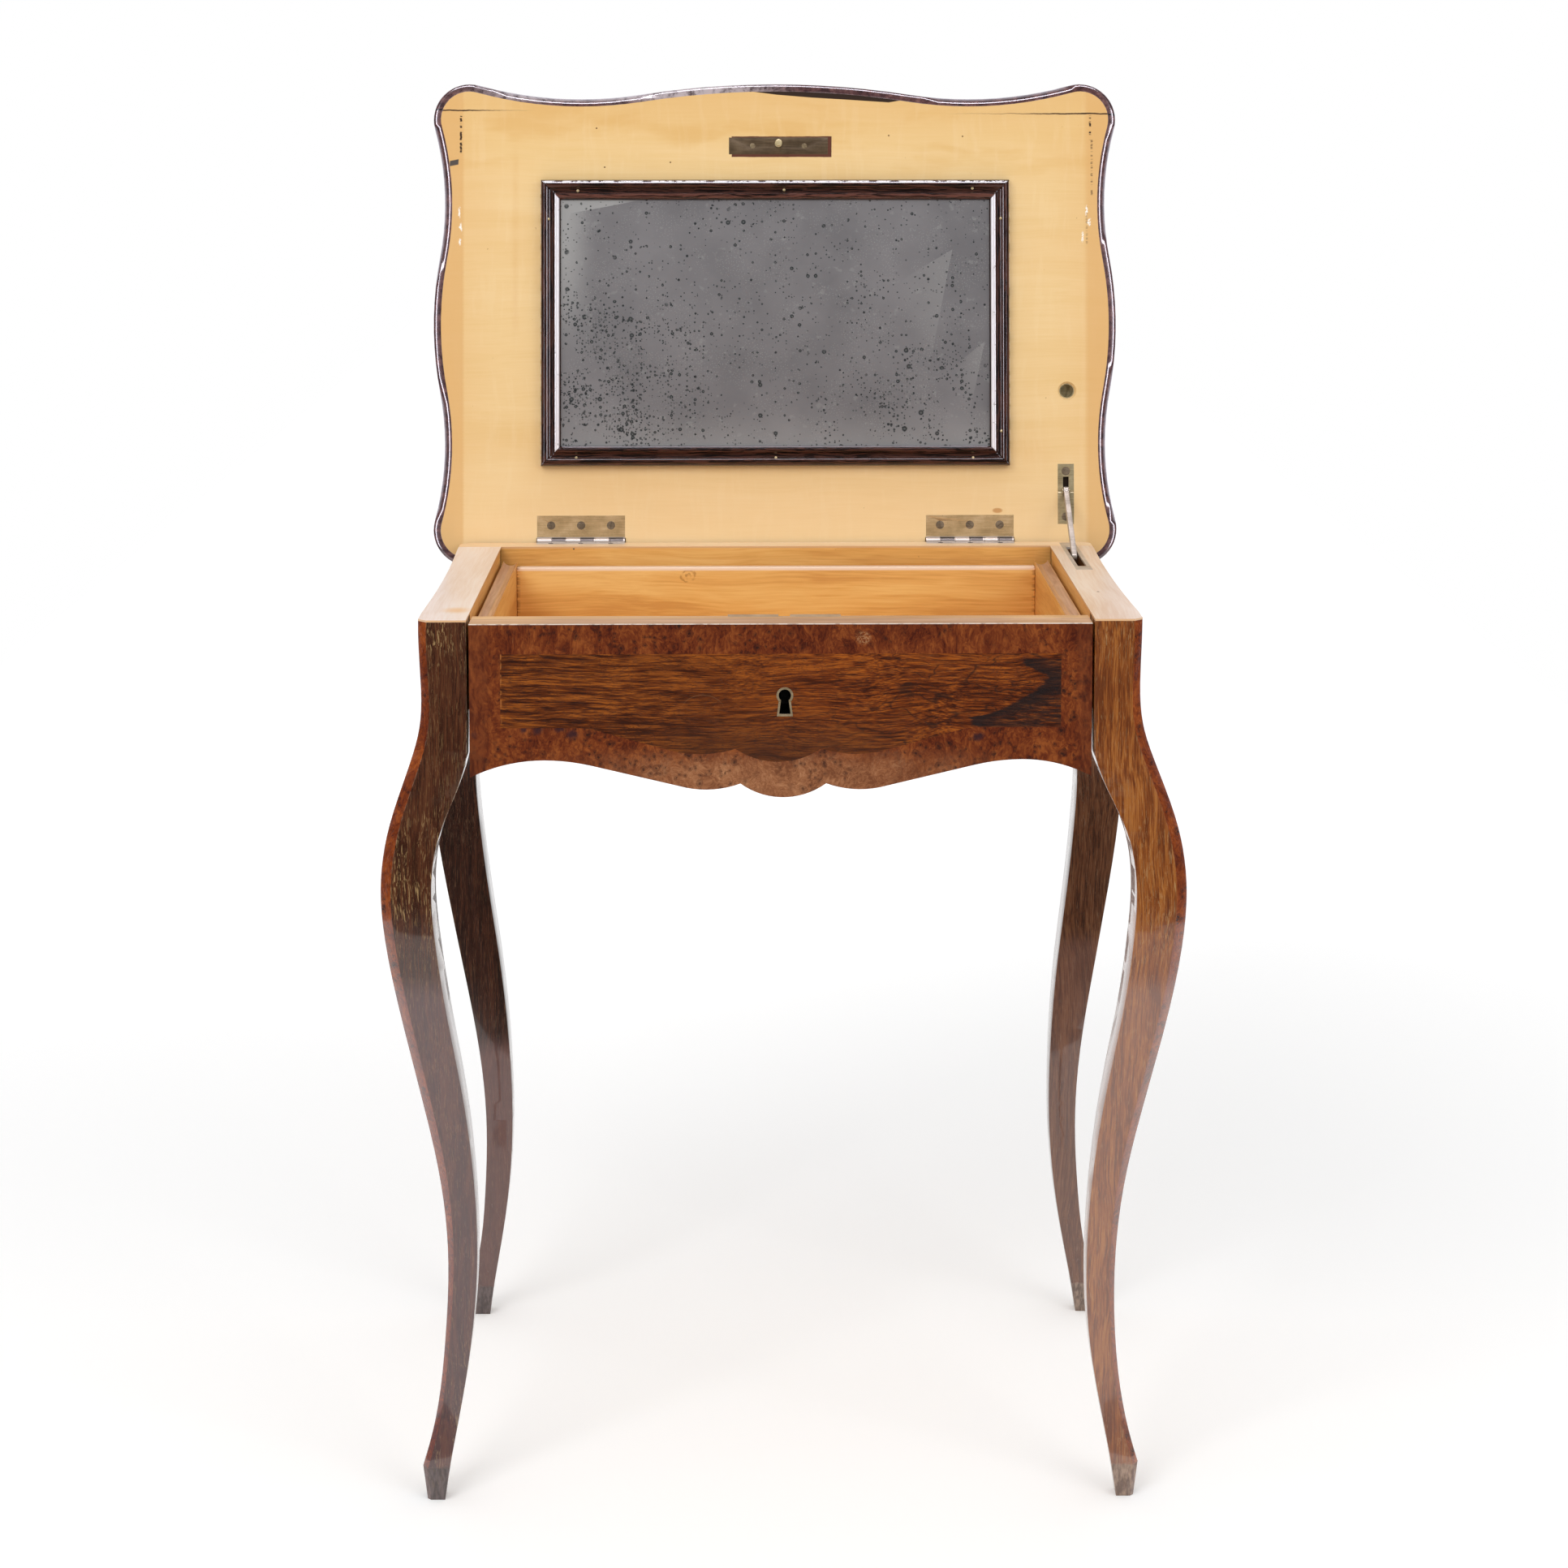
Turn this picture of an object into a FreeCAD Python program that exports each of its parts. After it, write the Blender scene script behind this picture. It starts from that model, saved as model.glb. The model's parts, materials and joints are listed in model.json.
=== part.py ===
import FreeCAD, Part
import Sketcher
import math
import os

# A small dressing table whose lid opens to show a mirror.
# X runs to the right, Y to the back, Z up, and the origin is on the floor,
# below the middle of the whole table with its lid standing open.

doc = FreeCAD.newDocument("DressingTable")
sheet = doc.addObject("Spreadsheet::Sheet", "Sizes")

DRIVING_SIZES = {
    # Case
    "case_height": 700.0,
    "case_width": 557.0,
    "case_depth": 386.0,
    "leg_square": 37.2,
    "cap_thickness": 1.5,
    "rear_rail_depth": 22.7,
    "side_board": 16.0,
    "side_hollow": 2.5,
    "side_rail_height": 45.0,
    "apron_height": 121.0,
    "side_arch_rise": 12.0,
    "side_lobe_drop": 9.0,
    "overrun": 5.0,
    # Leg
    "knee_reach": 28.0,
    "facet_width": 8.5,
    "right_swing": 6.5,
    "rear_lean": 6.4,
    # Drawer
    "drawer_side_gap": 2.0,
    "drawer_top_gap": 3.0,
    "drawer_front_thickness": 34.0,
    "veneer": 1.2,
    "front_centre_drop": 135.5,
    "front_end_drop": 119.5,
    "arch_top_drop": 106.2,
    "arch_end_drop": 110.4,
    "arch_outer_rise": 3.4,
    "arch_inner_rise": 1.0,
    "lobe_start_drop": 126.6,
    "lobe_rise": 3.7,
    "skirt_shift": 1.8,
    "cusp_drop": 124.7,
    "field_border": 23.8,
    "field_top_drop": 23.5,
    "field_end_drop": 81.0,
    "field_turn_drop": 85.2,
    "field_shoulder_rise": 0.6,
    "field_lobe_start_drop": 97.7,
    "field_lobe_rise": 4.0,
    "field_cusp_drop": 97.5,
    "field_centre_drop": 107.7,
    "field_shift": 2.0,
    "drawer_wall": 12.0,
    "drawer_side_height": 96.0,
    "drawer_side_drop": 4.0,
    "drawer_back_gap": 33.0,
    "drawer_side_round": 4.0,
    "scribed_line": 0.9,
    "scribed_line_share": 0.4,
    "back_drop": 12.0,
    "back_thickness": 10.0,
    "back_inset": 2.0,
    "bottom_thickness": 6.0,
    "bottom_lift": 6.0,
    "bottom_groove": 5.0,
    "runner_height": 12.0,
    "runner_drop": 65.0,
    "runner_grip": 6.0,
    "slide_gap": 0.3,
    "stop_width": 30.0,
    "stop_height": 20.0,
    "stop_spacing": 150.0,
    # Lock
    "lock_offset": 3.0,
    "lock_width": 88.0,
    "lock_height": 82.0,
    "lock_depth": 11.5,
    "lock_let_in": 5.0,
    "lock_plate": 2.0,
    "lock_wall": 1.2,
    "notch_width": 9.0,
    "notch_depth": 15.0,
    "keyhole_drop": 56.0,
    "keyhole_round": 4.7,
    "keyhole_rim": 1.85,
    "keyhole_foot": 4.4,
    "keyhole_neck": 2.4,
    "keyhole_length": 14.5,
    "bolt_thickness": 2.5,
    "bolt_length": 24.0,
    "bolt_depth": 7.0,
    "bolt_set_back": 0.5,
    "bolt_slot": 7.5,
    "stud_gap": 0.8,
    # Lid
    "lid_side_overhang": 25.2,
    "lid_front_overhang": 17.7,
    "lid_back_overhang": 21.6,
    "lid_thickness": 18.0,
    "lid_corner": 32.0,
    "lid_hollow_depth": 13.4,
    "lid_side_depth": 10.0,
    "lid_edge": 7.0,
    "lid_edge_round": 6.0,
    "lid_gap": 0.4,
    "lid_lean": 6.5,
    "hinge_back": 3.3,
    "clamp_width": 23.0,
    "top_band": 20.0,
    # Mirror
    "frame_width": 416.0,
    "frame_near": 67.0,
    "frame_far_inset": 86.0,
    "frame_moulding": 18.0,
    "frame_rise": 11.0,
    "frame_rebate": 5.0,
    "glass_thickness": 3.0,
    "glass_backing": 1.8,
    # Hinges
    "hinge_inset": 68.8,
    "hinge_length": 78.0,
    "hinge_leaf": 1.5,
    "lid_leaf_width": 23.2,
    "case_leaf_width": 12.0,
    "knuckle_radius": 3.0,
    "pin_radius": 1.4,
    "pin_fit": 0.05,
    "knuckle_gap": 0.3,
    "barrel_gap": 0.6,
    "screw_radius": 3.7,
    "screw_shank": 1.7,
    "screw_small": 2.4,
    "screw_small_shank": 1.1,
    "screw_length": 9.0,
    "lid_screw_reach": 14.5,
    "case_screw_reach": 7.5,
    "hinge_screw_spacing": 26.5,
    # Stay
    "stay_inset": 20.5,
    "slot_plate_width": 14.0,
    "slot_plate_inset": 153.0,
    "slot_plate_length": 148.0,
    "slot_plate_thickness": 2.0,
    "slot_width": 7.2,
    "slot_inset": 133.6,
    "slot_length": 104.0,
    "well_depth": 29.0,
    "lid_plate_near": 15.0,
    "lid_plate_far": 68.4,
    "lid_plate_width": 14.4,
    "lid_plate_thickness": 2.0,
    "lid_plate_screw_inset": 6.5,
    "lid_slot_width": 5.1,
    "lid_slot_far": 57.0,
    "stay_pivot_reach": 44.0,
    "stay_pivot_rise": 1.0,
    "stay_length": 89.0,
    "stay_width": 4.4,
    "stay_ear": 0.7,
    "stay_ear_radius": 2.6,
    "stay_bar": 6.0,
    "stay_eye": 4.0,
    "stay_pin_radius": 1.5,
    "stay_slope": 31.5,
    # Lid fittings
    "strike_width": 88.0,
    "strike_behind": 9.5,
    "strike_ahead": 5.5,
    "strike_thickness": 2.0,
    "stud_set_back": 1.8,
    "stud_length": 13.0,
    "stud_foot_radius": 3.2,
    "stud_foot_height": 2.0,
    "stud_neck_radius": 1.9,
    "stud_head_radius": 3.0,
    "stud_head_height": 4.0,
    "strike_screw_spacing": 46.0,
    "cup_offset": 1.3,
    "cup_reach": 133.3,
    "cup_radius": 5.8,
    "cup_mouth": 8.2,
    "cup_depth": 11.0,
    "cup_countersink": 2.5,
    "cup_wall": 0.8,
}

# Leg outlines from floor to top, as shares of the leg's height and of the knee's reach. The outer line
# also gives the facet's width as a share of its widest. The last share of each point says how far
# it goes with a leg that was sawn to swing out more than the others.
LEG_OUTER_SHARES = (
    (0.040, 0.09, 0.50, 0.0), (0.102, -0.30, 0.45, 0.0), (0.172, -0.50, 0.42, 0.0),
    (0.269, -0.60, 0.55, 0.40), (0.352, -0.445, 0.75, 0.65), (0.467, 0.065, 0.90, 0.90),
    (0.5655, 0.56, 0.98, 1.0), (0.651, 0.91, 1.00, 0.86), (0.713, 1.00, 1.00, 0.72),
    (0.773, 0.80, 1.00, 0.66), (0.839, 0.275, 0.95, 0.50), (0.880, 0.0, 0.88, 0.28),
    (0.9306, -0.05, 0.76, 0.05), (1.0, 0.0, 0.80, 0.0))
LEG_INNER_SHARES = (
    (0.0, 0.81, 0.0), (0.040, 0.66, 0.0), (0.102, 0.37, 0.0), (0.172, 0.09, 0.0),
    (0.269, -0.10, 0.40), (0.352, -0.06, 0.65), (0.467, 0.205, 0.90), (0.5655, 0.575, 1.0),
    (0.651, 0.84, 0.86), (0.713, 0.925, 0.72), (0.773, 0.68, 0.60), (0.819, 0.22, 0.30),
    (0.855, 0.0, 0.0))
FOOT_SHARES = (-0.02, 0.35)

# The turns of the drawer front's lower edge and of its field, as shares of their half widths,
# and those of the lid's wavy edge, as shares of the lid's half width and half depth
ARCH_TOP_SHARE = 0.7685
ARCH_END_SHARE = 0.6185
LOBE_START_SHARE = 0.334
CUSP_SHARE = 0.138
FIELD_SHOULDER_SHARE = 0.705
FIELD_TURN_SHARE = 0.613
FIELD_LOBE_SHARE = 0.401
LID_HOLLOW_SHARE = 0.5677
LID_SIDE_SHARE = 0.4993

# Where a side's middle lobe starts along it and above its ends, and how the rear corners are rounded
SIDE_LOBE_SHARE = 0.36
SIDE_CUSP_SHARE = 0.15
REAR_CORNER_SHARE = 1.6

# Flat steps in which each corner of the lid's edge is rounded
EDGE_STEPS = 3

# The stay's arm points down and forward, half a turn from the way its length is drawn
HALF_TURN = 180

# The mirror moulding's section, as shares of its width from the outer edge and of its rise.
MOULDING_SHARES = (
    (0.0, 0.62), (0.06, 0.86), (0.20, 1.0), (0.36, 0.92), (0.42, 0.74), (0.60, 0.66),
    (0.72, 0.86), (0.86, 0.84), (1.0, 0.56))


class Size:
    """A number and the sheet formula that it comes from, so that both are worked out together."""

    def __init__(self, number, formula):
        self.number = number
        self.formula = formula

    def join(self, sign, other, number, turned=False):
        first, second = (other, self) if turned else (self, other)
        return Size(number, "(" + first.formula + " " + sign + " " + second.formula + ")")

    def __add__(self, other):
        other = as_size(other)
        return self.join("+", other, self.number + other.number)

    def __sub__(self, other):
        other = as_size(other)
        return self.join("-", other, self.number - other.number)

    def __rsub__(self, other):
        other = as_size(other)
        return self.join("-", other, other.number - self.number, True)

    def __mul__(self, other):
        other = as_size(other)
        return self.join("*", other, self.number * other.number)

    def __truediv__(self, other):
        other = as_size(other)
        return self.join("/", other, self.number / other.number)

    def __neg__(self):
        return as_size(0) - self

    __radd__ = __add__
    __rmul__ = __mul__


def as_size(value):
    return value if isinstance(value, Size) else Size(value, repr(value))


def sine(angle):
    return Size(math.sin(math.radians(angle.number)), "sin(" + angle.formula + ")")


def cosine(angle):
    return Size(math.cos(math.radians(angle.number)), "cos(" + angle.formula + ")")


class SizeBook:
    """Gives each named size of the sheet as a Size."""

    def __getattr__(self, name):
        return Size(float(sheet.get(name)), "Sizes." + name)


def fill_sheet():
    for row, (name, value) in enumerate(DRIVING_SIZES.items(), start=1):
        sheet.set("A%d" % row, name)
        sheet.set("B%d" % row, str(value))
        sheet.setAlias("B%d" % row, name)
    doc.recompute()


fill_sheet()
s = SizeBook()
PARTS = []

# Places that several pieces share
half_width = s.case_width / 2
inner_half = half_width - s.leg_square
leg_top = s.case_height - s.cap_thickness
axis_height = s.case_height + s.lid_gap / 2
lean_sine = sine(s.lid_lean)
lean_cosine = cosine(s.lid_lean)
lid_reach = s.case_depth + s.hinge_back + s.lid_front_overhang
lid_depth = lid_reach + s.lid_back_overhang
lid_back = s.case_depth + s.hinge_back + lid_reach * lean_sine + s.lid_thickness * lean_cosine
front = (s.knee_reach - lid_back) / 2
back = front + s.case_depth
axis_place = back + s.hinge_back
rail_front = back - s.rear_rail_depth
side_front = front + s.leg_square
side_back = back - s.leg_square
board_inner = half_width - s.side_hollow - s.side_board
apron_bottom = s.case_height - s.apron_height
drawer_half = inner_half - s.drawer_side_gap
drawer_top = s.case_height - s.drawer_top_gap
drawer_inner = front + s.drawer_front_thickness
wall_outer = drawer_half - s.slide_gap * 3
wall_inner = wall_outer - s.drawer_wall
wall_top = drawer_top - s.drawer_side_drop
wall_bottom = wall_top - s.drawer_side_height
wall_back = back - s.drawer_back_gap
lid_half = half_width + s.lid_side_overhang
lid_middle = lid_reach - lid_depth / 2
clamp_line = lid_half - s.clamp_width
frame_far = lid_reach - s.frame_far_inset
hinge_middle = inner_half - s.hinge_inset
stay_line = half_width - s.stay_inset
slot_plate_front = back - s.slot_plate_inset
slot_front = back - s.slot_inset
stud_place = drawer_inner + s.stud_set_back
stud_reach = axis_place - stud_place
strike_near = stud_reach - s.strike_behind
strike_far = stud_reach + s.strike_ahead
cup_line = stay_line + s.cup_offset
cusp_half = drawer_half * CUSP_SHARE
underside = as_size(0) - s.lid_gap / 2


def bind(thing, setting, size):
    thing.setExpression(setting, as_size(size).formula)


def part(thing, label):
    """Takes a finished piece into the list that is written out, under its own label."""
    thing.Label = label
    PARTS.append(thing)
    return thing


def lid_part(thing, label):
    """Turns a piece drawn on the closed lid's underside up to where the open lid stands."""
    thing.Placement = FreeCAD.Placement(FreeCAD.Vector(), FreeCAD.Rotation(FreeCAD.Vector(1, 0, 0), 1))
    bind(thing, "Placement.Base.y", axis_place)
    bind(thing, "Placement.Base.z", axis_height)
    bind(thing, "Placement.Rotation.Angle", 90 - s.lid_lean)
    return part(thing, label)


def block(name, x, y, z):
    """A box between two places along each axis."""
    solid = doc.addObject("Part::Box", name)
    for setting, axis, (low, high) in (("Length", "x", x), ("Width", "y", y), ("Height", "z", z)):
        bind(solid, setting, high - low)
        bind(solid, "Placement.Base." + axis, low)
    return solid


TURNS = {
    "x": FreeCAD.Rotation(FreeCAD.Vector(0, 1, 0), 90),
    "y": FreeCAD.Rotation(FreeCAD.Vector(1, 0, 0), -90),
    "z": FreeCAD.Rotation(),
}


def round_bar(name, axis, start, length, radius, end_radius=None):
    """A cylinder, or a cone where the end has its own radius, along one axis from its start."""
    solid = doc.addObject("Part::Cylinder" if end_radius is None else "Part::Cone", name)
    solid.Placement = FreeCAD.Placement(FreeCAD.Vector(), TURNS[axis])
    if end_radius is None:
        bind(solid, "Radius", radius)
    else:
        bind(solid, "Radius1", radius)
        bind(solid, "Radius2", end_radius)
    bind(solid, "Height", length)
    for side, place in zip("xyz", start):
        bind(solid, "Placement.Base." + side, place)
    return solid


def fuse(name, *solids):
    joined = doc.addObject("Part::MultiFuse", name)
    joined.Shapes = list(solids)
    joined.Refine = True
    return joined


def common(name, *solids):
    shared = doc.addObject("Part::MultiCommon", name)
    shared.Shapes = list(solids)
    return shared


def cut(name, solid, *tools):
    left = doc.addObject("Part::Cut", name)
    left.Base = solid
    left.Tool = tools[0] if len(tools) == 1 else fuse(name + "_tools", *tools)
    return left


def group(name, solids):
    """Several like solids kept apart in one piece."""
    together = doc.addObject("Part::Compound", name)
    together.Links = solids
    return together


def place(x, y):
    return FreeCAD.Vector(as_size(x).number, as_size(y).number, 0)


def arch_middle(start, end, rise):
    """The top of an arch over two places, on the left of the way from start to end."""
    along = end - start
    left = FreeCAD.Vector(-along.y, along.x, 0)
    left.normalize()
    return (start + end) * 0.5 + left * rise.number


def draw(profile, corners):
    """Closes a loop of straight and arched edges, each held by its corners and its rise."""
    count = len(corners)
    for index, (x, y, rise) in enumerate(corners):
        next_x, next_y, _ = corners[(index + 1) % count]
        start = place(x, y)
        end = place(next_x, next_y)
        if rise is None:
            edge = Part.LineSegment(start, end)
        else:
            edge = Part.Arc(start, arch_middle(start, end, rise), end)
        profile.addGeometry([edge], False)
    for index, (x, y, rise) in enumerate(corners):
        here = nearest_end(profile, index, place(x, y))
        before = nearest_end(profile, (index - 1) % count, place(x, y))
        profile.addConstraint(Sketcher.Constraint("Coincident", (index - 1) % count, before, index, here))
        hold(profile, "DistanceX", x, index, here)
        hold(profile, "DistanceY", y, index, here)
        if rise is not None:
            next_x, next_y, _ = corners[(index + 1) % count]
            across = as_size(next_x) - x
            up = as_size(next_y) - y
            drop = rise if rise.number > 0 else -rise
            radius = (across * across + up * up) / (drop * 8) + drop / 2
            number = profile.addConstraint(Sketcher.Constraint("Radius", index, radius.number))
            bind(profile, "Constraints[%d]" % number, radius)


def nearest_end(profile, index, spot):
    ends = [profile.getPoint(index, end).sub(spot).Length for end in (1, 2)]
    return 1 if ends[0] < ends[1] else 2


def hold(profile, kind, size, index, end):
    size = as_size(size)
    number = profile.addConstraint(Sketcher.Constraint(kind, -1, 1, index, end, size.number))
    bind(profile, "Constraints[%d]" % number, size)


def outline_sketch(body, plane, corners, level):
    profile = body.newObject("Sketcher::SketchObject", body.Name + "_outline")
    origin_plane = [item for item in body.Origin.OriginFeatures if item.Role == plane][0]
    profile.AttachmentSupport = [(origin_plane, "")]
    profile.MapMode = "FlatFace"
    bind(profile, "AttachmentOffset.Base.z", level)
    draw(profile, corners)
    return profile


def plate(name, plane, corners, low, high):
    """A body padded from a drawn outline, between two levels along the plane's own axis."""
    body = doc.addObject("PartDesign::Body", name)
    level = as_size(0) - high if plane == "XZ_Plane" else low
    pad = body.newObject("PartDesign::Pad", name + "_pad")
    pad.Profile = outline_sketch(body, plane, corners, level)
    bind(pad, "Length", as_size(high) - low)
    return body


def pocket(body, plane, corners, low, high):
    """Cuts a drawn outline out of a body, between two levels along the plane's own axis."""
    doc.recompute()
    before = body.Shape.Volume
    level = as_size(0) - low if plane == "XZ_Plane" else high
    hollow = body.newObject("PartDesign::Pocket", body.Name + "_pocket")
    hollow.Profile = outline_sketch(body, plane, corners, level)
    bind(hollow, "Length", as_size(high) - low)
    doc.recompute()
    if body.Shape.Volume >= before:
        raise RuntimeError(body.Name + " keeps its volume")
    return body


def rectangle(x, y):
    return [(x[0], y[0], None), (x[1], y[0], None), (x[1], y[1], None), (x[0], y[1], None)]


def spline(points):
    curve = Part.BSplineCurve()
    curve.interpolate(points)
    return curve.toShape()


def formed(name, shape):
    """A free-form piece whose shape is worked out from the sheet."""
    thing = doc.addObject("Part::Feature", name)
    thing.Shape = shape
    return thing


# Legs

def leg_lines(swing, lean):
    """The leg's outer and inner lines from the floor up, as (outward, height)."""
    height = leg_top.number
    reach = s.knee_reach.number
    lean_top = LEG_INNER_SHARES[-2][0]

    def outward(up, out, swung):
        return out * reach + swung * swing + max(0, 1 - up / lean_top) * lean

    outer = [(outward(up, out, swung), up * height) for up, out, _, swung in LEG_OUTER_SHARES]
    outer.insert(0, (outward(0, FOOT_SHARES[0], 0), 0))
    square = s.leg_square.number
    inner = [(outward(up, out, swung) - square, up * height) for up, out, swung in LEG_INNER_SHARES]
    return outer, inner


def facet_line(across_line, deep_line):
    """The facet's line on the diagonal between the outer lines seen from the front and from the side."""
    facet = s.facet_width.number
    widths = [FOOT_SHARES[1]] + [share for _, _, share, _ in LEG_OUTER_SHARES]
    return [((out + deep - width * facet) / math.sqrt(2), up)
            for (out, up), (deep, _), width in zip(across_line, deep_line, widths)]


def outer_edges(line):
    """A straight foot and one long curve above it, ending upright at the top."""
    points = [FreeCAD.Vector(out, 0, up) for out, up in line]
    foot = Part.LineSegment(points[0], points[1]).toShape()
    return [foot, spline(points[1:])]


def profile_slab(line, inner, depth):
    """The leg's outline between its outer and its inner line, as a thick slab."""
    edges = outer_edges(line)
    top_out = FreeCAD.Vector(line[-1][0], 0, line[-1][1])
    inner_points = [FreeCAD.Vector(out, 0, up) for out, up in inner]
    top_in = FreeCAD.Vector(inner_points[-1].x, 0, top_out.z)
    edges.append(Part.LineSegment(top_out, top_in).toShape())
    edges.append(Part.LineSegment(top_in, inner_points[-1]).toShape())
    edges.append(spline(inner_points))
    edges.append(Part.LineSegment(inner_points[0], FreeCAD.Vector(line[0][0], 0, line[0][1])).toShape())
    face = Part.Face(Part.Wire(Part.__sortEdges__(edges)))
    face.translate(FreeCAD.Vector(0, -depth, 0))
    return face.extrude(FreeCAD.Vector(0, 2 * depth, 0))


def facet_slab(line, depth):
    """All that lies inside the facet on the leg's outer corner, turned onto the diagonal."""
    points = [FreeCAD.Vector(out, 0, up) for out, up in line]
    edges = outer_edges(line)
    inner_top = FreeCAD.Vector(-2 * depth, 0, points[-1].z)
    inner_foot = FreeCAD.Vector(-2 * depth, 0, points[0].z)
    edges.append(Part.LineSegment(points[-1], inner_top).toShape())
    edges.append(Part.LineSegment(inner_top, inner_foot).toShape())
    edges.append(Part.LineSegment(inner_foot, points[0]).toShape())
    face = Part.Face(Part.Wire(Part.__sortEdges__(edges)))
    face.translate(FreeCAD.Vector(0, -2 * depth, 0))
    slab = face.extrude(FreeCAD.Vector(0, 4 * depth, 0))
    slab.rotate(FreeCAD.Vector(), FreeCAD.Vector(0, 0, 1), 45)
    return slab


def leg_blank(swing, lean):
    """One leg, sawn to its line from the front and from the side and then given its facet."""
    depth = s.leg_square.number + 2 * s.knee_reach.number
    outer, inner = leg_lines(swing, lean)
    plain_outer, plain_inner = leg_lines(0, 0)
    side = profile_slab(plain_outer, plain_inner, depth)
    side.rotate(FreeCAD.Vector(), FreeCAD.Vector(0, 0, 1), 90)
    slope = facet_line(outer, plain_outer)
    return profile_slab(outer, inner, depth).common(side).common(facet_slab(slope, depth))


def make_legs():
    """Four legs, each mirrored to its corner. The right front one swings out, and the rear pair leans."""
    middle_of_case = FreeCAD.Vector(0, (front.number + back.number) / 2, 0)
    legs = (
        ("front_left", 0, 0), ("front_right", s.right_swing.number, 0),
        ("rear_left", 0, -s.rear_lean.number), ("rear_right", 0, s.rear_lean.number))
    for name, swing, lean in legs:
        shape = leg_blank(swing, lean)
        shape.translate(FreeCAD.Vector(half_width.number, back.number, 0))
        if name.startswith("front"):
            shape = shape.mirror(middle_of_case, FreeCAD.Vector(0, 1, 0))
        if name.endswith("left"):
            shape = shape.mirror(FreeCAD.Vector(), FreeCAD.Vector(1, 0, 0))
        leg = formed("leg_%s_shape" % name, shape)
        if name == "rear_right":
            leg = cut("leg_rear_right_let_in", leg, stay_well("leg"), slot_plate_space("leg"))
        part(leg, "leg_" + name)


# Case

def across(side, near, far):
    """A reach along X from near to far, on the right for 1 and on the left for -1."""
    return (near, far) if side > 0 else (as_size(0) - far, as_size(0) - near)


def side_name(side):
    return "right" if side > 0 else "left"


def stay_well(owner):
    """The deep slot under the stay's plate, where the arm goes as the lid comes down."""
    reach = s.slot_width / 2
    return block(
        owner + "_stay_well",
        (stay_line - reach, stay_line + reach),
        (slot_front - s.slot_width, slot_front + s.slot_length),
        (s.case_height - s.well_depth, s.case_height + s.overrun))


def slot_plate_space(owner):
    """The shallow recess that takes the stay's slotted plate flush."""
    reach = s.slot_plate_width / 2
    return block(
        owner + "_plate_space",
        (stay_line - reach, stay_line + reach),
        (slot_plate_front, slot_plate_front + s.slot_plate_length),
        (s.case_height - s.slot_plate_thickness, s.case_height + s.overrun))


def side_ends(side):
    """The side's two ends, in the order in which a hollow between them curves inwards."""
    return (side_front, side_back) if side > 0 else (side_back, side_front)


def make_side(side):
    """One side: a board hollowed along its length with a shaped lower edge, and the rail behind it."""
    name = side_name(side)
    first, last = side_ends(side)
    plan = plate("side_%s_plan" % name, "XY_Plane", [
        (board_inner * side, first, None),
        (half_width * side, first, s.side_hollow),
        (half_width * side, last, None),
        (board_inner * side, last, None)], apron_bottom - s.overrun, leg_top)
    third = (side_back - side_front) * SIDE_LOBE_SHARE
    low = apron_bottom + s.side_arch_rise * SIDE_CUSP_SHARE
    x = across(side, board_inner - s.overrun, half_width + s.overrun)
    shape = plate("side_%s_elevation" % name, "YZ_Plane", [
        (side_front, apron_bottom, s.side_arch_rise),
        (side_front + third, low, -s.side_lobe_drop),
        (side_back - third, low, s.side_arch_rise),
        (side_back, apron_bottom, None),
        (side_back, leg_top, None),
        (side_front, leg_top, None)], x[0], x[1])
    board = common("side_%s_board" % name, plan, shape)
    rail = block(
        "side_%s_rail" % name, across(side, inner_half, board_inner),
        (side_front, side_back), (leg_top - s.side_rail_height, leg_top))
    if side > 0:
        board = cut("side_board_let_in", board, stay_well("board"), slot_plate_space("board"))
        rail = cut("side_rail_let_in", rail, stay_well("rail"), slot_plate_space("rail"))
    part(board, "side_apron_" + name)
    part(rail, "side_top_rail_" + name)
    runner_top = s.case_height - s.runner_drop
    part(block(
        "runner_%s_bar" % name, across(side, wall_outer - s.runner_grip, board_inner),
        (side_front, side_back), (runner_top - s.runner_height, runner_top)), "drawer_runner_" + name)


def skirt_line(half):
    """The shaped lower edge from right to left: an arch, a lobe, the middle lobe, and back again."""
    end = drawer_top - s.front_end_drop
    places = (
        (ARCH_TOP_SHARE, s.arch_top_drop), (ARCH_END_SHARE, s.arch_end_drop),
        (LOBE_START_SHARE, s.lobe_start_drop), (CUSP_SHARE, s.cusp_drop))
    right = [(s.skirt_shift + drawer_half * share, drawer_top - drop) for share, drop in places]
    left = [(s.skirt_shift - drawer_half * share, drawer_top - drop) for share, drop in reversed(places)]
    rises = (
        -s.arch_outer_rise, -s.arch_inner_rise, None, s.lobe_rise, s.front_centre_drop - s.cusp_drop,
        s.lobe_rise, None, -s.arch_inner_rise, -s.arch_outer_rise, None)
    line = [(half, end)] + right + left + [(as_size(0) - half, end)]
    return [(x, z, rise) for (x, z), rise in zip(line, rises)]


def make_back():
    """The back, with the same lower edge as the drawer front, and the two blocks that stop the drawer."""
    outline = skirt_line(inner_half) + [(-inner_half, leg_top, None), (inner_half, leg_top, None)]
    board = plate("back_board", "XZ_Plane", outline, rail_front, back)
    part(cut("back_board_drilled", board, case_screws("board_screw")), "back_apron")
    reach = s.stop_width / 2
    low = s.case_height - s.runner_drop - s.runner_height
    deep = (wall_back - s.back_inset + s.slide_gap, rail_front)
    stops = []
    for side in (-1, 1):
        wide = across(side, s.stop_spacing - reach, s.stop_spacing + reach)
        stops.append(block(
            "stop_%s_block" % side_name(side), wide, deep, (low, low + s.stop_height)))
    part(group("stop_blocks", stops), "drawer_stops")


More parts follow.
